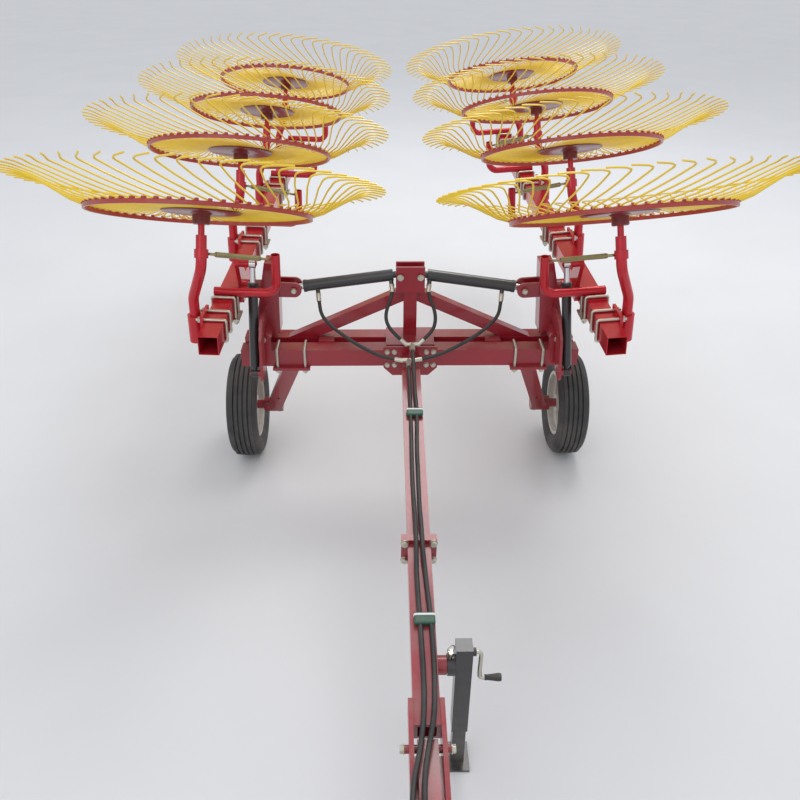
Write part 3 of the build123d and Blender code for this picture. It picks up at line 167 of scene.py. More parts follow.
def mottle() -> bpy.types.NodeTree:
    """Builds the group that varies a colour in soft patches with darker specks.

    Returns:
        A group from a colour to the varied colour and the patches' value.
    """
    if "mottle" in bpy.data.node_groups:
        return bpy.data.node_groups["mottle"]
    group = bpy.data.node_groups.new("mottle", "ShaderNodeTree")
    socket(group, "Vector", "Vector")
    socket(group, "Color", "Color", value=(0.5, 0.5, 0.5, 1))
    socket(group, "Second", "Color", value=(0.4, 0.4, 0.4, 1))
    socket(group, "Scale", "Float", value=6.0)
    socket(group, "Amount", "Float", value=0.5)
    socket(group, "Color", "Color", output=True)
    socket(group, "Value", "Float", output=True)
    nodes, links = group.nodes, group.links
    begin, end = nodes.new("NodeGroupInput"), nodes.new("NodeGroupOutput")
    noise = nodes.new("ShaderNodeTexNoise")
    noise.inputs["Detail"].default_value = 5.0
    links.new(begin.outputs["Vector"], noise.inputs["Vector"])
    links.new(begin.outputs["Scale"], noise.inputs["Scale"])
    value = ranged(group, noise.outputs["Fac"], 0.32, 0.70)
    factor = sum_of(group, "MULTIPLY", value, begin.outputs["Amount"])
    links.new(mixed(group, factor, begin.outputs["Color"], begin.outputs["Second"]), end.inputs["Color"])
    links.new(value, end.inputs["Value"])
    return group


def surface() -> bpy.types.NodeTree:
    """Builds the group for the height of a sprayed, cast or moulded surface.

    Returns:
        A group from a scale and a stretch to a height for a Bump node.
    """
    if "surface_height" in bpy.data.node_groups:
        return bpy.data.node_groups["surface_height"]
    group = bpy.data.node_groups.new("surface_height", "ShaderNodeTree")
    socket(group, "Vector", "Vector")
    socket(group, "Fine", "Float", value=400.0)
    socket(group, "Coarse", "Float", value=30.0)
    socket(group, "Share", "Float", value=0.4)
    socket(group, "Height", "Float", output=True)
    nodes, links = group.nodes, group.links
    begin, end = nodes.new("NodeGroupInput"), nodes.new("NodeGroupOutput")
    heights = []
    for name in ("Fine", "Coarse"):
        noise = nodes.new("ShaderNodeTexNoise")
        noise.inputs["Detail"].default_value = 3.0
        links.new(begin.outputs["Vector"], noise.inputs["Vector"])
        links.new(begin.outputs[name], noise.inputs["Scale"])
        heights.append(noise.outputs["Fac"])
    mix = nodes.new("ShaderNodeMix")
    links.new(begin.outputs["Share"], mix.inputs["Factor"])
    links.new(heights[0], mix.inputs["A"])
    links.new(heights[1], mix.inputs["B"])
    links.new(mix.outputs["Result"], end.inputs["Height"])
    return group


def ranged(tree: bpy.types.NodeTree, value: bpy.types.NodeSocket, low: float,
           high: float) -> bpy.types.NodeSocket:
    """Maps a value from between two ends to between 0 and 1.

    Args:
        tree: The tree that the node is made in.
        value: The socket that is read.
        low: What becomes 0.
        high: What becomes 1.

    Returns:
        The socket of the result.
    """
    node = tree.nodes.new("ShaderNodeMapRange")
    node.inputs["From Min"].default_value = low
    node.inputs["From Max"].default_value = high
    tree.links.new(value, node.inputs["Value"])
    return node.outputs["Result"]


def sum_of(tree: bpy.types.NodeTree, how: str, first: bpy.types.NodeSocket,
           second: bpy.types.NodeSocket) -> bpy.types.NodeSocket:
    """Joins two values by a sum or a product that stays between 0 and 1.

    Args:
        tree: The tree that the node is made in.
        how: ADD or MULTIPLY.
        first: One value.
        second: The other.

    Returns:
        The socket of the result.
    """
    node = tree.nodes.new("ShaderNodeMath")
    node.operation = how
    node.use_clamp = True
    tree.links.new(first, node.inputs[0])
    tree.links.new(second, node.inputs[1])
    return node.outputs[0]


def mixed(tree: bpy.types.NodeTree, factor: bpy.types.NodeSocket, first: bpy.types.NodeSocket,
          second: bpy.types.NodeSocket) -> bpy.types.NodeSocket:
    """Mixes two colours.

    Args:
        tree: The tree that the node is made in.
        factor: How much of the second colour shows.
        first: One colour.
        second: The other.

    Returns:
        The socket of the mixed colour.
    """
    node = tree.nodes.new("ShaderNodeMix")
    node.data_type = "RGBA"
    tree.links.new(factor, node.inputs["Factor"])
    tree.links.new(first, node.inputs[MIX_FIRST])
    tree.links.new(second, node.inputs[MIX_SECOND])
    return node.outputs[MIX_RESULT]


# ---- finishes


@dataclass(frozen=True)
class Finish:
    """A finish of the machine, and the record's material slot it belongs to."""

    name: str
    slot: str
    colour: Point
    second: Point
    roughness: float
    metallic: float = 0.0
    coat: float = 0.0
    upward: float = 0.25
    low: float = 0.35
    patch: float = 5.0
    variation: float = 0.5
    fine: float = 500.0
    coarse: float = 40.0
    share: float = 0.35
    bump: float = 0.0004
    dust: Point = (0.30, 0.26, 0.21)
    coat_roughness: float = 0.12
    dusty_roughness: float = 0.45
    dull: float = 0.95

    def material(self) -> bpy.types.Material:
        """Returns the finish's material, built the first time."""
        if self.name in bpy.data.materials:
            return bpy.data.materials[self.name]
        material = bpy.data.materials.new(self.name)
        material.use_nodes = True
        tree = material.node_tree
        shader = tree.nodes["Principled BSDF"]
        shader.inputs["Metallic"].default_value = self.metallic
        shader.inputs["Coat Weight"].default_value = self.coat
        shader.inputs["Coat Roughness"].default_value = self.coat_roughness
        where = tree.nodes.new("ShaderNodeTexCoord").outputs["Object"]
        varied = self.placed(tree, mottle(), where, {"Scale": self.patch, "Amount": self.variation})
        varied.inputs["Color"].default_value = (*self.colour, 1)
        varied.inputs["Second"].default_value = (*self.second, 1)
        dusted = self.placed(tree, road_dust(), where, {"Upward": self.upward, "Low": self.low})
        dusted.inputs["Dust"].default_value = (*self.dust, 1)
        tree.links.new(varied.outputs["Color"], dusted.inputs["Color"])
        tree.links.new(dusted.outputs["Color"], shader.inputs["Base Color"])
        rough = tree.nodes.new("ShaderNodeMapRange")
        rough.inputs["To Min"].default_value = self.roughness
        rough.inputs["To Max"].default_value = min(self.dull, self.roughness + self.dusty_roughness)
        tree.links.new(dusted.outputs["Mask"], rough.inputs["Value"])
        tree.links.new(rough.outputs["Result"], shader.inputs["Roughness"])
        height = self.placed(tree, surface(), where,
                             {"Fine": self.fine, "Coarse": self.coarse, "Share": self.share})
        bump = tree.nodes.new("ShaderNodeBump")
        bump.inputs["Strength"].default_value = 1.0
        bump.inputs["Distance"].default_value = self.bump
        tree.links.new(height.outputs["Height"], bump.inputs["Height"])
        tree.links.new(bump.outputs["Normal"], shader.inputs["Normal"])
        return material

    @staticmethod
    def placed(tree: bpy.types.NodeTree, group: bpy.types.NodeTree, where: bpy.types.NodeSocket,
               values: dict[str, float]) -> bpy.types.Node:
        """Places a shader group in a material.

        Args:
            tree: The material's tree.
            group: The group.
            where: The coordinates it reads.
            values: Values for its inputs by name.

        Returns:
            The group's node.
        """
        node = tree.nodes.new("ShaderNodeGroup")
        node.node_tree = group
        tree.links.new(where, node.inputs["Vector"])
        for name, value in values.items():
            node.inputs[name].default_value = value
        return node


FRAME_RED = Finish("frame_crimson", "frame_red", (0.30, 0.009, 0.020), (0.22, 0.006, 0.014), 0.30, coat=0.5)
BEAM_RED = Finish("beam_red", "beam_red", (0.46, 0.014, 0.026), (0.36, 0.010, 0.018), 0.28, coat=0.5)
RING_RED = Finish("ring_brick_red", "wheel_yellow", (0.40, 0.035, 0.025), (0.30, 0.02, 0.016), 0.38,
                  coat=0.3)
HUB_MAROON = Finish("hub_maroon", "wheel_yellow", (0.20, 0.012, 0.016), (0.13, 0.010, 0.012), 0.36,
                    coat=0.3)
TINE_YELLOW = Finish("tine_yellow", "wheel_yellow", (0.85, 0.60, 0.02), (0.72, 0.46, 0.015), 0.36,
                     coat=0.25, upward=0.08, low=0.0, patch=14.0, bump=0.0001)
RIM_PAINT = Finish("rim_cream", "rim_paint", (0.62, 0.60, 0.55), (0.50, 0.47, 0.42), 0.42, coat=0.2,
                   low=0.7)
TYRE = Finish("tyre_rubber", "tyre", (0.028, 0.028, 0.030), (0.045, 0.044, 0.043), 0.68, upward=0.25,
              low=0.75, patch=22.0, fine=700.0, coarse=120.0, bump=0.0005, dust=(0.17, 0.155, 0.135))
BLACK_PAINT = Finish("cylinder_black", "black_paint", (0.018, 0.018, 0.020), (0.032, 0.032, 0.034), 0.30,
                     coat=0.4, upward=0.12)
ZINC = Finish("zinc_plate", "zinc", (0.60, 0.57, 0.48), (0.48, 0.46, 0.40), 0.34, metallic=0.9,
              patch=60.0, upward=0.1, bump=0.0001)
CHROME = Finish("rod_chrome", "bright_steel", (0.72, 0.72, 0.73), (0.62, 0.62, 0.64), 0.12, metallic=1.0,
                upward=0.03, low=0.0, bump=0.00003)
SPRING = Finish("spring_olive_zinc", "spring_zinc", (0.46, 0.42, 0.22), (0.34, 0.31, 0.17), 0.36,
                metallic=0.85, patch=50.0, upward=0.1, bump=0.0001)
HOSE = Finish("hose_rubber", "hose", (0.016, 0.016, 0.017), (0.030, 0.030, 0.031), 0.52, upward=0.12,
              low=0.2, patch=30.0, fine=1500.0, coarse=300.0, bump=0.0002)
CLIP_GREEN = Finish("clip_green", "black_paint", (0.012, 0.085, 0.050), (0.008, 0.060, 0.036), 0.40,
                    bump=0.0002)
CLIP_WHITE = Finish("clip_white", "rim_paint", (0.80, 0.80, 0.78), (0.68, 0.68, 0.66), 0.45, bump=0.0002)
GRIP = Finish("grip_plastic", "black_paint", (0.020, 0.020, 0.022), (0.030, 0.030, 0.032), 0.45,
              bump=0.0004)


# ---- the workbench


def pick(obj: bpy.types.Object) -> bpy.types.Object:
    """Leaves one object selected and active, and returns it."""
    if bpy.context.object and bpy.context.object.mode != "OBJECT":
        bpy.ops.object.mode_set(mode="OBJECT")
    bpy.ops.object.select_all(action="DESELECT")
    obj.select_set(True)
    bpy.context.view_layer.objects.active = obj
    return obj


def clear_bench() -> None:
    """Deselects everything before a new primitive is added."""
    bpy.ops.object.select_all(action="DESELECT")


def settle(obj: bpy.types.Object, place: Matrix | None = None) -> bpy.types.Object:
    """Moves a piece to its place and applies that, so its object is at the origin.

    Args:
        obj: The piece.
        place: Where it goes, or None to keep its place.

    Returns:
        The piece.
    """
    pick(obj)
    if place is not None:
        obj.matrix_world = place @ obj.matrix_world
    bpy.ops.object.transform_apply(location=True, rotation=True, scale=True)
    return obj


def closed_up(obj: bpy.types.Object, merge: float, smooth: float, fill: bool = False) -> bpy.types.Object:
    """Merges a mesh's doubles, turns its faces outwards and shades it smooth.

    Args:
        obj: The piece, which is the active object.
        merge: How near to each other doubles are, in metres.
        smooth: The sharpest angle that is still shaded smooth, in degrees.
        fill: True to close open ends.

    Returns:
        The piece.
    """
    bpy.ops.object.mode_set(mode="EDIT")
    bpy.ops.mesh.select_all(action="SELECT")
    bpy.ops.mesh.remove_doubles(threshold=merge)
    if fill:
        bpy.ops.mesh.fill_holes(sides=0)
    bpy.ops.mesh.normals_make_consistent(inside=False)
    bpy.ops.object.mode_set(mode="OBJECT")
    bpy.ops.object.shade_smooth_by_angle(angle=math.radians(smooth))
    return obj


def bevelled(obj: bpy.types.Object, width: float, segments: int = 2) -> bpy.types.Object:
    """Rounds a piece's edges with an applied bevel.

    Args:
        obj: The piece.
        width: The bevel's width.
        segments: Its segments.

    Returns:
        The piece.
    """
    pick(obj)
    bpy.ops.object.modifier_add(type="BEVEL")
    bevel = obj.modifiers[-1]
    bevel.width, bevel.segments, bevel.limit_method = width, segments, "ANGLE"
    bevel.angle_limit = math.radians(30)
    bpy.ops.object.modifier_apply(modifier=bevel.name)
    return obj


def lathe(name: str, profile: Sequence[tuple[float, float]], steps: int) -> bpy.types.Object:
    """Turns a profile about Z: one vertex is extruded along it and spun.

    Args:
        name: The piece's name.
        profile: (radius, height) points.
        steps: How many faces round.

    Returns:
        The turned piece, about the origin.
    """
    clear_bench()
    bpy.ops.mesh.primitive_plane_add(size=0.001, location=(profile[0][0], 0, profile[0][1]))
    obj = bpy.context.object
    obj.name = name
    bpy.ops.object.mode_set(mode="EDIT")
    bpy.ops.mesh.select_all(action="SELECT")
    bpy.ops.mesh.merge(type="CENTER")
    for (r0, h0), (r1, h1) in zip(profile, profile[1:]):
        bpy.ops.mesh.extrude_region_move(TRANSFORM_OT_translate={"value": (r1 - r0, 0, h1 - h0)})
    bpy.ops.mesh.select_all(action="SELECT")
    bpy.ops.mesh.spin(steps=steps, angle=math.tau, center=(0, 0, 0), axis=(0, 0, 1))
    bpy.ops.object.mode_set(mode="OBJECT")
    return closed_up(settle(obj), merge=1e-5, smooth=32)


def wire(name: str, points: Sequence[Sequence[float]], radius: float, sides: int = 8,
         steps: int = 3) -> bpy.types.Object:
    """Bends a round wire through points and makes it a mesh.

    Args:
        name: The piece's name.
        points: The points it goes through.
        radius: The wire's radius.
        sides: Faces round the wire.
        steps: Steps from point to point.

    Returns:
        The wire, with closed ends.
    """
    clear_bench()
    bpy.ops.curve.primitive_bezier_curve_add(location=(0, 0, 0))
    obj = bpy.context.object
    obj.name = name
    curve = obj.data
    spline = curve.splines[0]
    spline.bezier_points.add(len(points) - 2)
    for knot, point in zip(spline.bezier_points, points):
        knot.co = point
        knot.handle_left_type = knot.handle_right_type = "AUTO"
    curve.resolution_u, curve.bevel_depth, curve.bevel_resolution = steps, radius, (sides - 4) // 2
    curve.use_fill_caps = True
    pick(obj)
    bpy.ops.object.convert(target="MESH")
    return closed_up(bpy.context.object, merge=1e-6, smooth=40)


def slab(name: str, low: Sequence[float], high: Sequence[float], bevel: float,
         segments: int = 2) -> bpy.types.Object:
    """Makes a block between two corners with rounded edges.

    Args:
        name: The piece's name.
        low: Its lowest corner.
        high: Its highest corner.
        bevel: The width of its edges' bevel.
        segments: The bevel's segments.

    Returns:
        The block.
    """
    clear_bench()
    low, high = Vector(low), Vector(high)
    bpy.ops.mesh.primitive_cube_add(size=1, location=(low + high) / 2)
    obj = bpy.context.object
    obj.name = name
    obj.scale = high - low
    settle(obj)
    return bevelled(obj, bevel, segments)


def joined(name: str, pieces: Sequence[bpy.types.Object]) -> bpy.types.Object:
    """Joins pieces into one under a name, and returns it."""
    pick(pieces[0])
    for piece in pieces[1:]:
        piece.select_set(True)
    if len(pieces) > 1:
        bpy.ops.object.join()
    whole = bpy.context.object
    whole.name = name
    return whole


def copies(name: str, template: bpy.types.Object, places: Iterable[Matrix]) -> bpy.types.Object:
    """Copies a template to several places and joins the copies; the template is kept.

    Args:
        name: The name of the joined piece.
        template: What is copied, modelled about the origin.
        places: Where each copy goes.

    Returns:
        The joined copies.
    """
    made = []
    for place in places:
        copy = template.copy()
        copy.data = template.data.copy()
        bpy.context.scene.collection.objects.link(copy)
        copy.data.transform(place)
        made.append(copy)
    return joined(name, made)


def bin_template(*templates: bpy.types.Object) -> None:
    """Throws templates away once their copies are made."""
    for template in templates:
        bpy.data.objects.remove(template)


def aimed(point: Vector, axis: Sequence[float], spin: float = 0.0) -> Matrix:
    """Returns the place of a piece modelled up Z when it stands at a point along an axis.

    Args:
        point: Where its origin goes.
        axis: Where its Z goes.
        spin: A turn about that axis, in radians.

    Returns:
        The placement.
    """
    turn = Vector(axis).to_track_quat("Z", "Y").to_matrix().to_4x4()
    return Matrix.Translation(point) @ turn @ Matrix.Rotation(spin, 4, "Z")


def bolt_circle(radius: float, height: float, count: int) -> list[Matrix]:
    """Returns the places of bolts on a circle about Z.

    Args:
        radius: The circle's radius.
        height: Its height.
        count: How many bolts.

    Returns:
        The placements.
    """
    return [Matrix.Rotation(math.tau * i / count, 4, "Z") @ Matrix.Translation((radius, 0, height))
            for i in range(count)]


def finished(obj: bpy.types.Object, finish: Finish, body: str, *nodes: str) -> bpy.types.Object:
    """Gives a piece its finish and its body, and the CAD nodes it stands for.

    Args:
        obj: The piece.
        finish: Its finish.
        body: The CAD body it rides on.
        nodes: CAD nodes it replaces.

    Returns:
        The piece.
    """
    obj.data.materials.clear()
    obj.data.materials.append(finish.material())
    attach(obj, body)
    if nodes:
        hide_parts(*nodes)
    LOG.info("%s in %s on %s", obj.name, finish.name, body)
    return obj


# ---- how the machine stands


def drawbar_z(y: float) -> float:
    """Returns the height of the drawbar's centre line over the ground, in millimetres."""
    return DRAWBAR_Z - (DRAWBAR_Y - y) * math.tan(DRAWBAR_SLOPE)


def on_drawbar(x: float, y: float, rise: float) -> Matrix:
    """Returns a place that slopes with the drawbar.

    Args:
        x: Distance to the right of its centre line, in millimetres.
        y: Station along it.
        rise: Height over its centre line.

    Returns:
        The placement.
    """
    return Matrix.Translation(machine(x, y, drawbar_z(y) + rise)) @ Matrix.Rotation(DRAWBAR_SLOPE, 4, "X")


@dataclass(frozen=True)
class Stance:
    """How a side stands in transport, in degrees, and its hinge's and pivot's places in millimetres."""

    side: Side
    lean: float
    droop: float
    toe: float = 1.0
    hinge: tuple[float, float] = (660.0, 825.0)
    pivot: tuple[float, float] = (55.0, 1008.0)
    beam_x: float = 800.0

    def tower(self) -> Matrix:
        """Returns the tower's placement, for the side at +X."""
        hinge = Matrix.Translation(machine(self.hinge[0], 0, self.hinge[1]))
        return hinge @ Matrix.Rotation(-math.radians(self.lean), 4, "Y") @ hinge.inverted()

    def beam(self) -> Matrix:
        """Returns the rake beam's placement, for the side at +X."""
        pivot = Matrix.Translation(machine(0, *self.pivot))
        toe = Matrix.Translation(machine(self.beam_x, self.pivot[0], 0))
        droop = pivot @ Matrix.Rotation(math.radians(self.droop), 4, "X") @ pivot.inverted()
        turn = toe @ Matrix.Rotation(math.radians(self.toe), 4, "Z") @ toe.inverted()
        return self.tower() @ droop @ turn

    def put(self, place: Matrix, point: Vector, axis: Sequence[float], spin: float = 0.0) -> Matrix:
        """Returns the place of a turned piece on this side's tower or beam.

        Args:
            place: The tower's or the beam's placement.
            point: Its point on the upright tower or level beam, for the side at +X.
            axis: Where its Z points there.
            spin: A turn about that axis.

        Returns:
            The placement on this side.
        """
        where, along = place @ point, place.to_3x3() @ Vector(axis)
        flip = self.side.flip
        return aimed(Vector((flip * where.x, where.y, where.z)), (flip * along.x, along.y, along.z), spin)


STANCES = (Stance(Side.LEFT, 2.0, 0.0), Stance(Side.RIGHT, 4.0, 1.2))


# ---- sub-assemblies


@dataclass
class RakeWheels:
    """The eight rake wheels: hub and plate, ring with its clips, and the tines.

    A tine lies tangent to a small circle round the hub, crosses the ring, sweeps on to its bend and
    turns back a little to its tip. The runs past the ring are given as (outward, sideways, up).
    """

    tines: int = 60
    tine_radius: float = 0.0034
    tangent: float = 0.125
    start: float = 0.142
    ring: float = 0.417
    ring_half: float = 0.005
    ring_low: float = -0.014
    ring_high: float = 0.002
    rest: float = 0.0052
    bend: Point = (0.150, 0.232, 0.092)
    tip: Point = (0.256, 0.182, 0.096)
    clamp_circle: float = 0.136
    clamp_bolts: int = 10
    hub_circle: float = 0.0415
    hub_bolts: int = 5
    stagger: float = 0.37
    templates: dict[str, bpy.types.Object] = field(default_factory=dict)

    def tine_points(self) -> list[Vector]:
        """Returns the points of one tine, from the hub plate to its tip."""
        begin = math.sqrt(self.start ** 2 - self.tangent ** 2)
        reach = math.sqrt(self.ring ** 2 - self.tangent ** 2)
        first = Vector((self.tangent, begin, self.rest))
        cross = Vector((self.tangent, reach, self.rest))
        out = Vector((cross.x, cross.y, 0)).normalized()
        side, up = Vector((-out.y, out.x, 0)), Vector((0, 0, 1))
        bend, tip = (cross + out * run[0] + side * run[1] + up * run[2] for run in (self.bend, self.tip))
        return [first, first.lerp(cross, 0.5), cross + Vector((0, 0.008, 0)),
                cross.lerp(bend, 0.5) + out * 0.006 - up * 0.006, bend.lerp(cross, 0.09),
                bend.lerp(tip, 0.10), bend.lerp(tip, 0.55) + up * 0.003, tip]

    def model(self) -> None:
        """Models the ring, clips, hub and both hands of the tines about the origin."""
        right = wire("tines_right", self.tine_points(), self.tine_radius, sides=6, steps=2)
        bpy.ops.object.mode_set(mode="EDIT")
        bpy.ops.mesh.select_all(action="SELECT")
        bpy.ops.mesh.spin(steps=self.tines - 1, dupli=True, angle=math.tau * (self.tines - 1) / self.tines,
                          center=(0, 0, 0), axis=(0, 0, 1))
        bpy.ops.object.mode_set(mode="OBJECT")
        left = right.copy()
        left.data = right.data.copy()
        left.name = "tines_left"
        bpy.context.scene.collection.objects.link(left)
        left.scale = (1, -1, 1)
        settle(left)
        for piece in (left, right):
            pick(piece)
            bpy.ops.object.mode_set(mode="EDIT")
            bpy.ops.mesh.select_all(action="SELECT")
            bpy.ops.mesh.normals_make_consistent(inside=False)
            bpy.ops.object.mode_set(mode="OBJECT")
        self.templates = {"left": left, "right": right, "ring": self.ring_with_clips(), "hub": self.hub()}

    def ring_with_clips(self) -> bpy.types.Object:
        """Models the ring with a clip over every tine that crosses it."""
        inner, outer = self.ring - self.ring_half, self.ring + self.ring_half
        low, high, corner = self.ring_low, self.ring_high, 0.001
        ring = lathe("ring", [
            (inner, low + corner), (inner + corner, low), (outer - corner, low), (outer, low + corner),
            (outer, high - corner), (outer - corner, high), (inner + corner, high), (inner, high - corner),
            (inner, low + corner)], 96)
        clip = slab("clip", (self.ring - 0.008, -0.0075, 0.0005), (self.ring + 0.008, 0.0075, 0.0105),
                    0.003)
        first = math.acos(self.tangent / self.ring)
        turns = [Matrix.Rotation(first + math.tau * i / self.tines, 4, "Z") for i in range(self.tines)]
        clips = copies("clips", clip, turns)
        bin_template(clip)
        return joined("ring", [ring, clips])

    def hub(self) -> bpy.types.Object:
        """Models the hub with its pressed plate, the tines' clamp ring and its bolts."""
        plate_top, band_top, bore = 0.0022, 0.0115, 0.0128
        body = lathe("hub_body", [
            (bore, -0.046), (0.030, -0.046), (0.034, -0.042), (0.034, -0.010), (0.044, -0.003),
            (0.146, -0.003), (0.150, -0.001), (0.150, 0.001), (0.147, plate_top), (0.118, plate_top),
            (0.112, 0.005), (0.060, 0.0055), (0.050, plate_top), (0.036, plate_top), (0.034, 0.006),
            (0.032, 0.010), (bore, 0.010), (bore, -0.046)], 60)
        band = lathe("clamp_band", [
            (0.128, 0.0018), (0.144, 0.0018), (0.144, 0.0105), (0.142, band_top), (0.130, band_top),
            (0.128, 0.0105), (0.128, 0.0018)], 60)
        bolt = Hardware.head("wheel_bolt", 0.0075, 0.0055)
        places = (bolt_circle(self.clamp_circle, band_top, self.clamp_bolts)
                  + bolt_circle(self.hub_circle, plate_top, self.hub_bolts))
        bolts = copies("hub_bolts", bolt, places)
        bin_template(bolt)
        nut = lathe("hub_nut", [(0.0, 0.0145), (0.010, 0.0145), (0.0115, 0.0135), (0.0115, 0.0)], 20)
        return joined("hub", [body, band, bolts, nut])

    def build(self, joints: Sequence[dict]) -> None:
        """Places the wheels on their spin joints.

        Args:
            joints: The record's joints.
        """
        self.model()
        for joint in joints:
            child = joint["child"]
            if "rake_wheel" not in child:
                continue
            side, number, axis = child.split("_")[0], int(child[-1]), Vector(joint["axis"])
            place = aimed(Vector(joint["pos_m"]), axis if axis.z > 0 else -axis, self.stagger * number)
            finished(copies(f"{child}_tines", self.templates[side], [place]), TINE_YELLOW, child, child)
            finished(copies(f"{child}_ring", self.templates["ring"], [place]), RING_RED, child)
            finished(copies(f"{child}_hub", self.templates["hub"], [place]), HUB_MAROON, child)
        bin_template(*self.templates.values())


@dataclass
class Hardware:
    """Hex heads and nuts over bolts, U-bolts and pins; their sizes in metres, places in millimetres."""

    nut_across: float = 0.0240
    nut_height: float = 0.0114
    arm_plate_x: float = 852.0
    arm_lead: float = 25.0
    arm_bolt: float = 42.0
    arm_bolt_heights: tuple[float, float] = (961.0, 1055.0)
    post_back: float = 165.0
    post_bolt: float = 32.0
    post_bolt_sides: tuple[float, float] = (753.0, 847.0)
    strap_z: float = 960.0
    tower_inside: float = 592.0
    lift_pin: Point = (526.0, 10.0, 1022.0)
    splice_y: float = -1150.0
    hitch_bolts: tuple[float, float] = (-1860.0, -2035.0)
    hitch_plate: float = 67.5
    fold_pin: Point = (660.0, -91.0, 825.0)
    mast_pin: Point = (45.0, 10.0, 1080.0)

    @staticmethod
    def head(name: str, radius: float, height: float) -> bpy.types.Object:
        """Models a hex head on its washer, standing on the origin.

        Args:
            name: Its name.
            radius: Half the width across its corners.
            height: Its height with the washer.

        Returns:
            The head.
        """
        clear_bench()
        washer = height * 0.2
        bpy.ops.mesh.primitive_cylinder_add(vertices=6, radius=radius, depth=height - washer,
                                            location=(0, 0, (height + washer) / 2))
        hexagon = bevelled(settle(bpy.context.object), radius * 0.09)
        under = lathe("washer", [(0.0, washer), (radius * 1.12, washer), (radius * 1.16, washer * 0.6),
                                 (radius * 1.16, 0), (0.0, 0)], 20)
        return joined(name, [hexagon, under])

    def beam_nuts(self, stance: Stance, nut: bpy.types.Object) -> None:
        """Puts the nuts on the U-bolts of one rake beam.

        Args:
            stance: The side.
            nut: The nut that is copied.
        """
        beam, places = stance.beam(), []
        for index in range(RAKE_WHEELS):
            hub = FIRST_HUB + HUB_PITCH * index
            for step in (-self.arm_bolt, self.arm_bolt):
                for z in self.arm_bolt_heights:
                    point = machine(self.arm_plate_x, hub - self.arm_lead + step, z)
                    places.append(stance.put(beam, point, Axis.OUT.value, 0.3 * index))
            for step in (-self.post_bolt, self.post_bolt):
                for x in self.post_bolt_sides:
                    point = machine(x, hub + self.post_back + step, self.strap_z)
                    places.append(stance.put(beam, point, Axis.DOWN.value, 0.2 * index))
        name = f"{stance.side.value}_u_bolt_nuts"
        finished(copies(name, nut, places), ZINC, f"{stance.side.value}_beam")

    def tower_heads(self, stance: Stance, head: bpy.types.Object) -> None:
        """Puts heads on one tower's spread pivot and lift lug.

        Args:
            stance: The side.
            head: The head that is copied.
        """
        tower = stance.tower()
        places = [stance.put(tower, machine(self.tower_inside, *stance.pivot), Axis.IN.value),
                  stance.put(tower, machine(*self.lift_pin), Axis.FRONT.value, 0.2)]
        side = stance.side.value
        finished(copies(f"{side}_tower_heads", head, places), ZINC, f"{side}_tower")

    def frame_heads(self, nut: bpy.types.Object, head: bpy.types.Object) -> None:
        """Puts heads and nuts on the ear plate, the splice, the hitch, the fold pins and the leg plates.

        Args:
            nut: The nut of the U-bolts.
            head: A head for the plates' bolts.
        """
        ear_bolts = [(x, -95.0, z) for x in (72.0, 104.0) for z in (766.0, 700.0)]
        leg_bolts = [(x, y, 676.0) for x in (478.0, 602.0) for y in (-90.0, 4.0)]
        splice = on_drawbar(0.0, self.splice_y, 0.0)
        heads, nuts, large = [], [], []
        for sign in (side.flip for side in Side):
            heads += [aimed(machine(sign * x, y, z), Axis.FRONT.value, x) for x, y, z in ear_bolts]
            nuts += [aimed(machine(sign * x, y, z), Axis.DOWN.value, x) for x, y, z in leg_bolts]
            for level in (-0.045, 0.045):
                large.append(splice @ aimed(Vector((sign * 0.050, -0.014, level)), Axis.FRONT.value))
            for y in self.hitch_bolts:
                point = machine(sign * self.hitch_plate, y, drawbar_z(y))
                large.append(aimed(point, (sign, 0, 0), 0.2))
            for (x, y, z), turn in ((self.fold_pin, 0.3 * sign), (self.mast_pin, 0.1)):
                large.append(aimed(machine(sign * x, y, z), Axis.FRONT.value, turn))
        big = self.head("big_head", 0.0132, 0.0126)
        finished(copies("leg_u_bolt_nuts", nut, nuts), ZINC, "frame")
        finished(copies("plate_bolt_heads", head, heads), ZINC, "frame")
        finished(copies("large_bolt_heads", big, large), ZINC, "frame")
        bin_template(big)

    def build(self) -> None:
        """Makes every head and nut."""
        nut = self.head("u_nut", self.nut_across / 2 / math.cos(math.pi / 6), self.nut_height)
        head = self.head("plate_head", 0.0108, 0.0105)
        for stance in STANCES:
            self.beam_nuts(stance, nut)
            self.tower_heads(stance, head)
        self.frame_heads(nut, head)
        bin_template(nut, head)


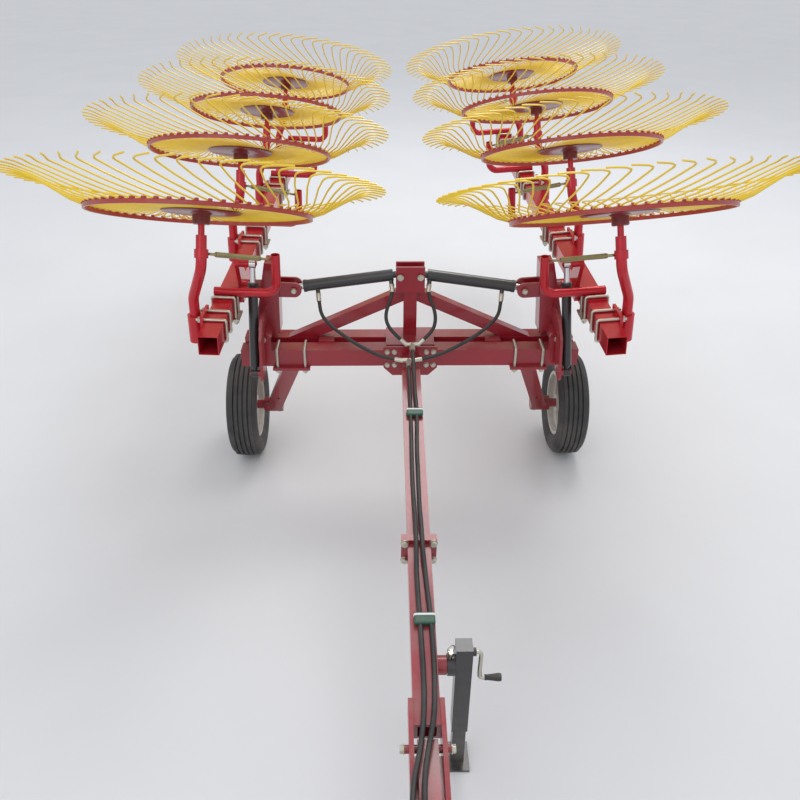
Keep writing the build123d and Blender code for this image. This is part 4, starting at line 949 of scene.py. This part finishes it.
@dataclass
class Springs:
    """The coil springs from the arms' collars to their posts; the coil in metres, places in millimetres."""

    coil: float = 0.0088
    wire: float = 0.0021
    pitch: float = 0.0050
    rake: float = math.radians(24.0)
    hub: tuple[float, float] = (826.0, 1475.0)
    collar_down: float = 155.0
    collar_reach: float = 27.0
    post: Point = (597.0, 165.0, 1228.0)
    sleeve: float = 0.036

    def ends(self, index: int) -> tuple[Vector, Vector]:
        """Returns where a spring starts at the arm's collar and ends at its post.

        Args:
            index: Which arm, from the front.

        Returns:
            Both points on the level beam, for the side at +X.
        """
        station = FIRST_HUB + HUB_PITCH * index
        start = machine(self.hub[0] - self.collar_reach, station - self.collar_down * math.sin(self.rake),
                        self.hub[1] - self.collar_down * math.cos(self.rake))
        return start, machine(self.post[0], station + self.post[1], self.post[2])

    def coil_piece(self, name: str, start: float, length: float) -> bpy.types.Object:
        """Models the coil along Z with the Screw modifier.

        Args:
            name: Its name.
            start: Where it starts on Z.
            length: How long it is.

        Returns:
            The coil.
        """
        clear_bench()
        bpy.ops.mesh.primitive_circle_add(vertices=6, radius=self.wire, location=(self.coil, 0, start),
                                          rotation=(math.pi / 2, 0, 0))
        coil = settle(bpy.context.object)
        coil.name = name
        bpy.ops.object.modifier_add(type="SCREW")
        screw = coil.modifiers[-1]
        screw.angle, screw.steps, screw.render_steps = math.tau, 12, 12
        screw.iterations, screw.screw_offset = int(length / self.pitch), self.pitch
        screw.use_merge_vertices = False
        bpy.ops.object.modifier_apply(modifier=screw.name)
        return closed_up(coil, merge=1e-6, smooth=40, fill=True)

    def build(self) -> None:
        """Makes the four springs of each side."""
        for stance in STANCES:
            parts = []
            for index in range(RAKE_WHEELS):
                start, end = self.ends(index)
                length = (end - start).length
                coil = self.coil_piece("coil", self.sleeve, length - 0.098)
                rod = lathe("spring_rod", [
                    (0.0, 0.002), (0.0055, 0.003), (0.0055, 0.034), (0.0098, 0.035), (0.0098, 0.039),
                    (0.004, 0.040), (0.004, length - 0.064), (0.0098, length - 0.063),
                    (0.0098, length - 0.059), (0.0055, length - 0.058), (0.0055, length - 0.003),
                    (0.0, length - 0.002)], 14)
                place = stance.put(stance.beam(), start, end - start)
                parts.append(settle(joined("spring", [coil, rod]), place))
            side = stance.side.value
            finished(joined(f"{side}_coil_springs", parts), SPRING, f"{side}_beam", f"{side}_springs")


@dataclass
class RoadWheels:
    """Ribbed tyres, wheel nuts and valves; the axle's place in millimetres, the rest in metres."""

    track: float = 825.0
    axle_y: float = 268.0
    axle_z: float = 265.0
    radius: float = 0.2648
    rim: float = 0.1531
    ribs: int = 5
    rib_pitch: float = 0.0232
    rib_half: float = 0.0082
    rib_slope: float = 0.0012
    groove: float = 0.0080
    crown: float = 1.2
    nuts: int = 5
    nut_circle: float = 0.062

    def tyre_profile(self) -> list[tuple[float, float]]:
        """Returns the closed profile of the tyre, with its ribs and grooves."""
        tread = []
        half, slope = self.rib_half, self.rib_slope
        for rib in range(self.ribs):
            middle = (rib - (self.ribs - 1) / 2) * self.rib_pitch
            top = self.radius - self.crown * middle ** 2
            low, edge = top - self.groove, top - 0.0008
            tread += [(low, middle - half - slope), (edge, middle - half), (top, middle - half + slope),
                      (top, middle + half - slope), (edge, middle + half), (low, middle + half + slope)]
        wall = [(self.rim, -0.0515), (self.rim + 0.010, -0.0535), (self.rim + 0.018, -0.058),
                (0.186, -0.066), (0.200, -0.0725), (0.204, -0.0738), (0.206, -0.0728), (0.226, -0.0748),
                (0.228, -0.0736), (0.236, -0.0735), (0.2455, -0.0690), (0.2515, -0.0615)]
        inside = [(self.rim, 0.0395), (0.205, 0.0600), (0.236, 0.0560), (0.2480, 0.036),
                  (0.2480, -0.036), (0.236, -0.0560), (0.205, -0.0600), (self.rim, -0.0395)]
        other = [(r, -h) for r, h in reversed(wall)]
        return wall + tread + other + inside + [wall[0]]

    def build(self) -> None:
        """Makes both tyres and the nuts of their discs."""
        nut = Hardware.head("wheel_nut", 0.0125, 0.016)
        for side in Side:
            centre = machine(side.flip * self.track, self.axle_y, self.axle_z)
            outward = aimed(centre, (side.flip, 0, 0))
            tyre = settle(lathe(f"{side.value}_ribbed_tyre", self.tyre_profile(), 72), outward)
            finished(tyre, TYRE, f"{side.value}_road_wheel", f"{side.value}_tyre")
            places = [outward @ place for place in bolt_circle(self.nut_circle, 0.0098, self.nuts)]
            finished(copies(f"{side.value}_wheel_nuts", nut, places), ZINC, f"{side.value}_road_wheel")
            valve = lathe(f"{side.value}_valve", [
                (0.0, 0.0), (0.0045, 0.0), (0.0045, 0.022), (0.0035, 0.024), (0.0035, 0.034),
                (0.0, 0.035)], 10)
            settle(valve, outward @ Matrix.Translation((0.118, 0, 0.022)))
            finished(valve, GRIP, f"{side.value}_road_wheel")
        bin_template(nut)


@dataclass(frozen=True)
class HoseRoute:
    """A hydraulic hose: its route, real length and how it lies."""

    name: str
    length: float
    lay: str
    points: tuple[Point, ...]
    diameter: float = 0.016

    def build(self) -> None:
        """Lays the hose on one smooth curve."""
        curve = bpy.data.curves.new(f"{self.name}_line", "CURVE")
        curve.dimensions = "3D"
        spline = curve.splines.new("NURBS")
        spline.points.add(len(self.points) - 1)
        for knot, point in zip(spline.points, self.points):
            knot.co = (*point, 1.0)
        spline.order_u = 3
        spline.use_endpoint_u = True
        curve.bevel_depth, curve.bevel_resolution, curve.resolution_u = self.diameter / 2, 5, 14
        curve.use_fill_caps = True
        hose = bpy.data.objects.new(f"{self.name}_rubber", curve)
        bpy.context.scene.collection.objects.link(hose)
        finished(hose, HOSE, "frame", self.name)
        if self.lay == "hanging":
            self.ferrule()

    def ferrule(self) -> None:
        """Crimps a bright ferrule with its hex on the hose's upper end."""
        start, after = (Vector(point) for point in self.points[:2])
        sleeve = lathe("sleeve", [
            (0.0083, 0.009), (0.0108, 0.009), (0.0112, 0.012), (0.0104, 0.015), (0.0112, 0.018),
            (0.0104, 0.021), (0.0112, 0.024), (0.0104, 0.027), (0.0108, 0.036), (0.0083, 0.037),
            (0.0083, 0.009)], 24)
        clear_bench()
        bpy.ops.mesh.primitive_cylinder_add(vertices=6, radius=0.0132, depth=0.009, location=(0, 0, 0.0046))
        nut = bevelled(settle(bpy.context.object), 0.0012)
        whole = settle(joined(f"{self.name}_ferrule", [sleeve, nut]), aimed(start, after - start))
        finished(whole, ZINC, "frame")


HOSES = (
    HoseRoute("main_hose_1", 1.962, "loose", (
        (-0.012, 2.208, 0.34), (-0.012, 2.138, 0.34), (-0.01, 2.02, 0.2809), (-0.012, 1.81, 0.2487),
        (-0.015, 1.62, 0.2197), (-0.013, 1.45, 0.1936), (-0.01, 1.35, 0.1982), (-0.011, 1.25, 0.1829),
        (-0.014, 1.14, 0.1462), (-0.008, 0.95, 0.1171), (-0.004, 0.76, 0.0881), (-0.009, 0.65, 0.0712),
        (-0.024, 0.55, 0.061), (-0.046, 0.465, 0.051), (-0.052, 0.365, 0.056), (-0.052, 0.282, 0.056))),
    HoseRoute("main_hose_2", 2.045, "loose", (
        (0.007, 2.282, 0.38), (0.007, 2.212, 0.38), (0.01, 2.085, 0.3103), (0.016, 1.95, 0.2702),
        (0.008, 1.76, 0.2411), (0.008, 1.59, 0.2151), (0.007, 1.45, 0.1936), (0.009, 1.35, 0.1982),
        (0.01, 1.25, 0.1829), (0.016, 1.14, 0.1462), (0.027, 0.97, 0.1202), (0.029, 0.79, 0.0927),
        (0.022, 0.66, 0.0728), (0.0, 0.56, 0.063), (-0.016, 0.475, 0.055), (-0.018, 0.365, 0.056),
        (-0.018, 0.282, 0.056))),
    HoseRoute("left_inner_hose", 0.262, "hanging", (
        (-0.0842, 2.4796, 0.6107), (-0.0792, 2.4514, 0.5734), (-0.109, 2.412, 0.516), (-0.11, 2.388, 0.47),
        (-0.082, 2.367, 0.43), (-0.0447, 2.3523, 0.4002))),
    HoseRoute("left_outer_hose", 0.505, "hanging", (
        (-0.4123, 2.4796, 0.5672), (-0.4074, 2.4514, 0.5299), (-0.398, 2.419, 0.489), (-0.36, 2.388, 0.455),
        (-0.282, 2.346, 0.41), (-0.203, 2.319, 0.369), (-0.126, 2.3, 0.34), (-0.0703, 2.2797, 0.34))),
    HoseRoute("right_inner_hose", 0.262, "hanging", (
        (0.0837, 2.4796, 0.6102), (0.0783, 2.4514, 0.573), (0.108, 2.412, 0.516), (0.112, 2.388, 0.47),
        (0.096, 2.367, 0.43), (0.0587, 2.3523, 0.4002))),
    HoseRoute("right_outer_hose", 0.505, "hanging", (
        (0.4113, 2.4796, 0.5627), (0.4059, 2.4514, 0.5255), (0.395, 2.419, 0.486), (0.356, 2.388, 0.453),
        (0.276, 2.346, 0.41), (0.185, 2.319, 0.369), (0.102, 2.3, 0.34), (0.0463, 2.2797, 0.34))),
)


@dataclass
class DrawbarFittings:
    """The clips over the hoses, and the jack's crank and pin; the places are in millimetres."""

    clips: tuple[float, ...] = (-501.0, -1478.0)
    clip_x: float = 6.0
    clip_rise: float = 40.5
    crank: Point = (160.0, -1590.0, 528.0)
    crank_drop: float = 118.0
    pin: Point = (82.0, -1590.0, 503.0)
    pull_ring: Point = (82.0, -1590.0, 541.0)
    chain: Point = (78.0, -1584.0, 524.0)
    chain_step: Point = (-1.6, 2.4, -9.4)
    chain_links: int = 7

    def hose_clip(self, name: str, y: float) -> None:
        """Makes one clip: a rounded green block over both hoses with a white strap round it.

        Args:
            name: Its name.
            y: Its station along the drawbar, in millimetres.
        """
        place = on_drawbar(self.clip_x, y, self.clip_rise)
        block = slab(f"{name}_block", (-0.034, -0.020, 0.0002), (0.034, 0.024, 0.0205), 0.007, 4)
        finished(settle(block, place), CLIP_GREEN, "frame")
        strap = slab(f"{name}_strap", (-0.0352, 0.006, 0.0002), (0.0352, 0.021, 0.0216), 0.0075, 4)
        finished(settle(strap, place), CLIP_WHITE, "frame")

    def jack_crank(self) -> None:
        """Makes the jack's crank from one bent bar, and its tapered grip."""
        (x, y, z), drop = self.crank, self.crank_drop
        steps = ((0, 0), (8, 0), (15, -8), (16, -30), (16, 20 - drop), (18, 5 - drop), (26, -drop),
                 (34, -drop))
        points = [machine(x + across, y, z + up) for across, up in steps]
        bar = wire("jack_crank_bar", points, 0.0069, sides=12, steps=4)
        finished(bar, ZINC, "jack", "jack_crank")
        grip = lathe("jack_crank_grip", [
            (0.0, 0.0), (0.0085, 0.0), (0.0095, 0.002), (0.0088, 0.010), (0.0105, 0.026), (0.0128, 0.042),
            (0.0130, 0.048), (0.0112, 0.0535), (0.0, 0.0545)], 28)
        settle(grip, aimed(machine(x + 32, y, z - drop), Axis.OUT.value))
        finished(grip, GRIP, "jack")

    @staticmethod
    def bent_ring(name: str, radius: float, wire_radius: float, steps: int,
                  stretch: float) -> bpy.types.Object:
        """Bends an upright oval ring of wire about the origin, its weld a little flattened.

        Args:
            name: Its name.
            radius: The wire's bending radius.
            wire_radius: The wire's radius.
            steps: Segments round the ring.
            stretch: Its height over its width.

        Returns:
            The ring, in the XZ plane.
        """
        clear_bench()
        bpy.ops.mesh.primitive_torus_add(
            major_radius=radius, minor_radius=wire_radius, major_segments=steps, minor_segments=8,
            rotation=(math.pi / 2, 0, 0))
        ring = settle(bpy.context.object)
        ring.name = name
        bpy.ops.object.mode_set(mode="EDIT")
        bpy.ops.mesh.select_all(action="SELECT")
        bpy.ops.transform.resize(value=(1, 1, stretch))
        bpy.ops.mesh.bisect(plane_co=(0, 0, radius * stretch * 0.8), plane_no=(0, 0, 1))
        bpy.ops.transform.resize(value=(1, 0.86, 1))
        bpy.ops.object.mode_set(mode="OBJECT")
        return ring

    def jack_pin(self) -> None:
        """Makes the jack's swivel pin with its pull ring and a short chain."""
        body = lathe("jack_swivel_pin", [
            (0.0, -0.012), (0.005, -0.012), (0.006, -0.010), (0.006, 0.020), (0.0105, 0.021),
            (0.0105, 0.026), (0.0, 0.027)], 16)
        settle(body, Matrix.Translation(machine(*self.pin)))
        pull = self.bent_ring("jack_pull_ring", 0.0125, 0.0016, 24, 1.2)
        settle(pull, Matrix.Translation(machine(*self.pull_ring)) @ Matrix.Rotation(0.5, 4, "Z"))
        link = self.bent_ring("jack_chain_link", 0.0042, 0.0013, 14, 1.55)
        hung = []
        for i in range(self.chain_links):
            spot = machine(*(start + step * i for start, step in zip(self.chain, self.chain_step)))
            hung.append(Matrix.Translation(spot) @ Matrix.Rotation((i % 2) * math.pi / 2, 4, "Z"))
        chain = copies("jack_chain", link, hung)
        bin_template(link)
        whole = joined("jack_pin_and_chain", [body, pull, chain])
        bpy.ops.object.shade_smooth_by_angle(angle=math.radians(40))
        finished(whole, ZINC, "frame")

    def build(self) -> None:
        """Makes every fitting of the drawbar."""
        for number, y in enumerate(self.clips, 1):
            self.hose_clip(f"hose_clip_{number}", y)
        self.jack_crank()
        self.jack_pin()


@dataclass
class CadFinishes:
    """Which finish each CAD node that stays in sight gets."""

    rules: tuple[tuple[str, Finish], ...] = (
        ("u_bolts", ZINC), ("tees", ZINC), ("couplers", ZINC), ("rim", RIM_PAINT), ("tyre", TYRE),
        ("hose", HOSE), ("barrel", BLACK_PAINT), ("lift_rod", CHROME), ("spread_rod", CHROME),
        ("jack_crank", ZINC), ("jack", BLACK_PAINT), ("springs", SPRING), ("rake_beam", BEAM_RED),
        ("arms", BEAM_RED), ("spring_posts", BEAM_RED), ("rake_wheel", TINE_YELLOW))

    def build(self, nodes: dict[str, bpy.types.Object]) -> None:
        """Assigns the finishes to the nodes' material slots.

        Args:
            nodes: The CAD nodes by name.
        """
        for name, node in nodes.items():
            finish = next((f for key, f in self.rules if key in name), FRAME_RED)
            if not node.material_slots:
                node.data.materials.append(finish.material())
            for slot in node.material_slots:
                slot.material = finish.material()


@dataclass
class Studio:
    """The floor, the soft light and the camera at the photograph's viewing angle."""

    camera_at: Point = (-0.1163, -0.7864, 2.0311)
    yaw: float = 1.2872
    pitch: float = 31.8342
    roll: float = 0.3908
    focal_pixels: float = 790.0
    picture: int = 800
    sky: float = 0.92
    backdrop: float = 0.62
    middle: Point = (0.0, 3.0, 0.2)
    lamps: tuple[tuple[str, Point, float, float], ...] = (
        ("key", (1.6, 6.4, 6.5), 4.0, 260.0), ("fill", (-2.5, -2.0, 5.0), 5.0, 60.0))

    def camera(self) -> None:
        """Sets up the camera."""
        yaw, pitch, roll = (math.radians(a) for a in (self.yaw, self.pitch, self.roll))
        level = math.cos(pitch)
        forward = Vector((math.sin(yaw) * level, math.cos(yaw) * level, -math.sin(pitch)))
        right = Vector((math.cos(yaw), -math.sin(yaw), 0))
        up = right.cross(forward)
        across = right * math.cos(roll) + up * math.sin(roll)
        upright = up * math.cos(roll) - right * math.sin(roll)
        data = bpy.data.cameras.new("camera")
        data.sensor_width = 36.0
        data.lens = 36.0 * self.focal_pixels / self.picture
        data.clip_start, data.clip_end = 0.05, 200.0
        camera = bpy.data.objects.new("camera", data)
        camera.matrix_world = Matrix.Translation(self.camera_at) @ Matrix(
            (across, upright, -forward)).transposed().to_4x4()
        bpy.context.scene.collection.objects.link(camera)
        bpy.context.scene.camera = camera

    def floor(self) -> None:
        """Lays the pale floor."""
        clear_bench()
        bpy.ops.mesh.primitive_plane_add(size=90.0, location=(0, 3.0, GROUND))
        floor = settle(bpy.context.object)
        floor.name = "floor"
        material = bpy.data.materials.new("pale_floor")
        material.use_nodes = True
        tree = material.node_tree
        shader = tree.nodes["Principled BSDF"]
        shader.inputs["Roughness"].default_value = 0.85
        where = tree.nodes.new("ShaderNodeTexCoord").outputs["Object"]
        tone = Finish.placed(tree, mottle(), where, {"Scale": 1.3, "Amount": 0.5})
        tone.inputs["Color"].default_value = (0.66, 0.665, 0.67, 1)
        tone.inputs["Second"].default_value = (0.61, 0.615, 0.62, 1)
        tree.links.new(tone.outputs["Color"], shader.inputs["Base Color"])
        floor.data.materials.append(material)

    def light(self) -> None:
        """Hangs a large soft lamp behind and over the machine, with a pale sky all round."""
        for name, place, size, power in self.lamps:
            lamp = bpy.data.lights.new(name, "AREA")
            lamp.shape, lamp.size, lamp.energy = "DISK", size, power
            obj = bpy.data.objects.new(name, lamp)
            aim = Vector(self.middle) - Vector(place)
            obj.matrix_world = Matrix.Translation(place) @ aim.to_track_quat("-Z", "Y").to_matrix().to_4x4()
            bpy.context.scene.collection.objects.link(obj)
        world = bpy.data.worlds.new("pale_sky")
        world.use_nodes = True
        tree = world.node_tree
        sky = tree.nodes["Background"]
        sky.inputs["Color"].default_value = (0.93, 0.95, 1.0, 1)
        strength = tree.nodes.new("ShaderNodeMapRange")
        strength.inputs["To Min"].default_value = self.sky
        strength.inputs["To Max"].default_value = self.backdrop
        path = tree.nodes.new("ShaderNodeLightPath")
        tree.links.new(path.outputs["Is Camera Ray"], strength.inputs["Value"])
        tree.links.new(strength.outputs["Result"], sky.inputs["Strength"])
        bpy.context.scene.world = world

    def build(self) -> None:
        """Builds the stage."""
        self.camera()
        self.floor()
        self.light()
        bpy.context.scene.view_settings.view_transform = "Standard"


def main() -> None:
    """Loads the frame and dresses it."""
    logging.basicConfig(level=logging.INFO, format="%(message)s")
    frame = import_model()
    Studio().build()
    CadFinishes().build(frame["nodes"])
    steps: tuple[Callable[[], None], ...] = (
        *(hose.build for hose in HOSES), lambda: RakeWheels().build(frame["joints"]), Springs().build,
        RoadWheels().build, Hardware().build, DrawbarFittings().build)
    for step in steps:
        step()
    bpy.context.view_layer.update()


if __name__ == "__main__":
    main()
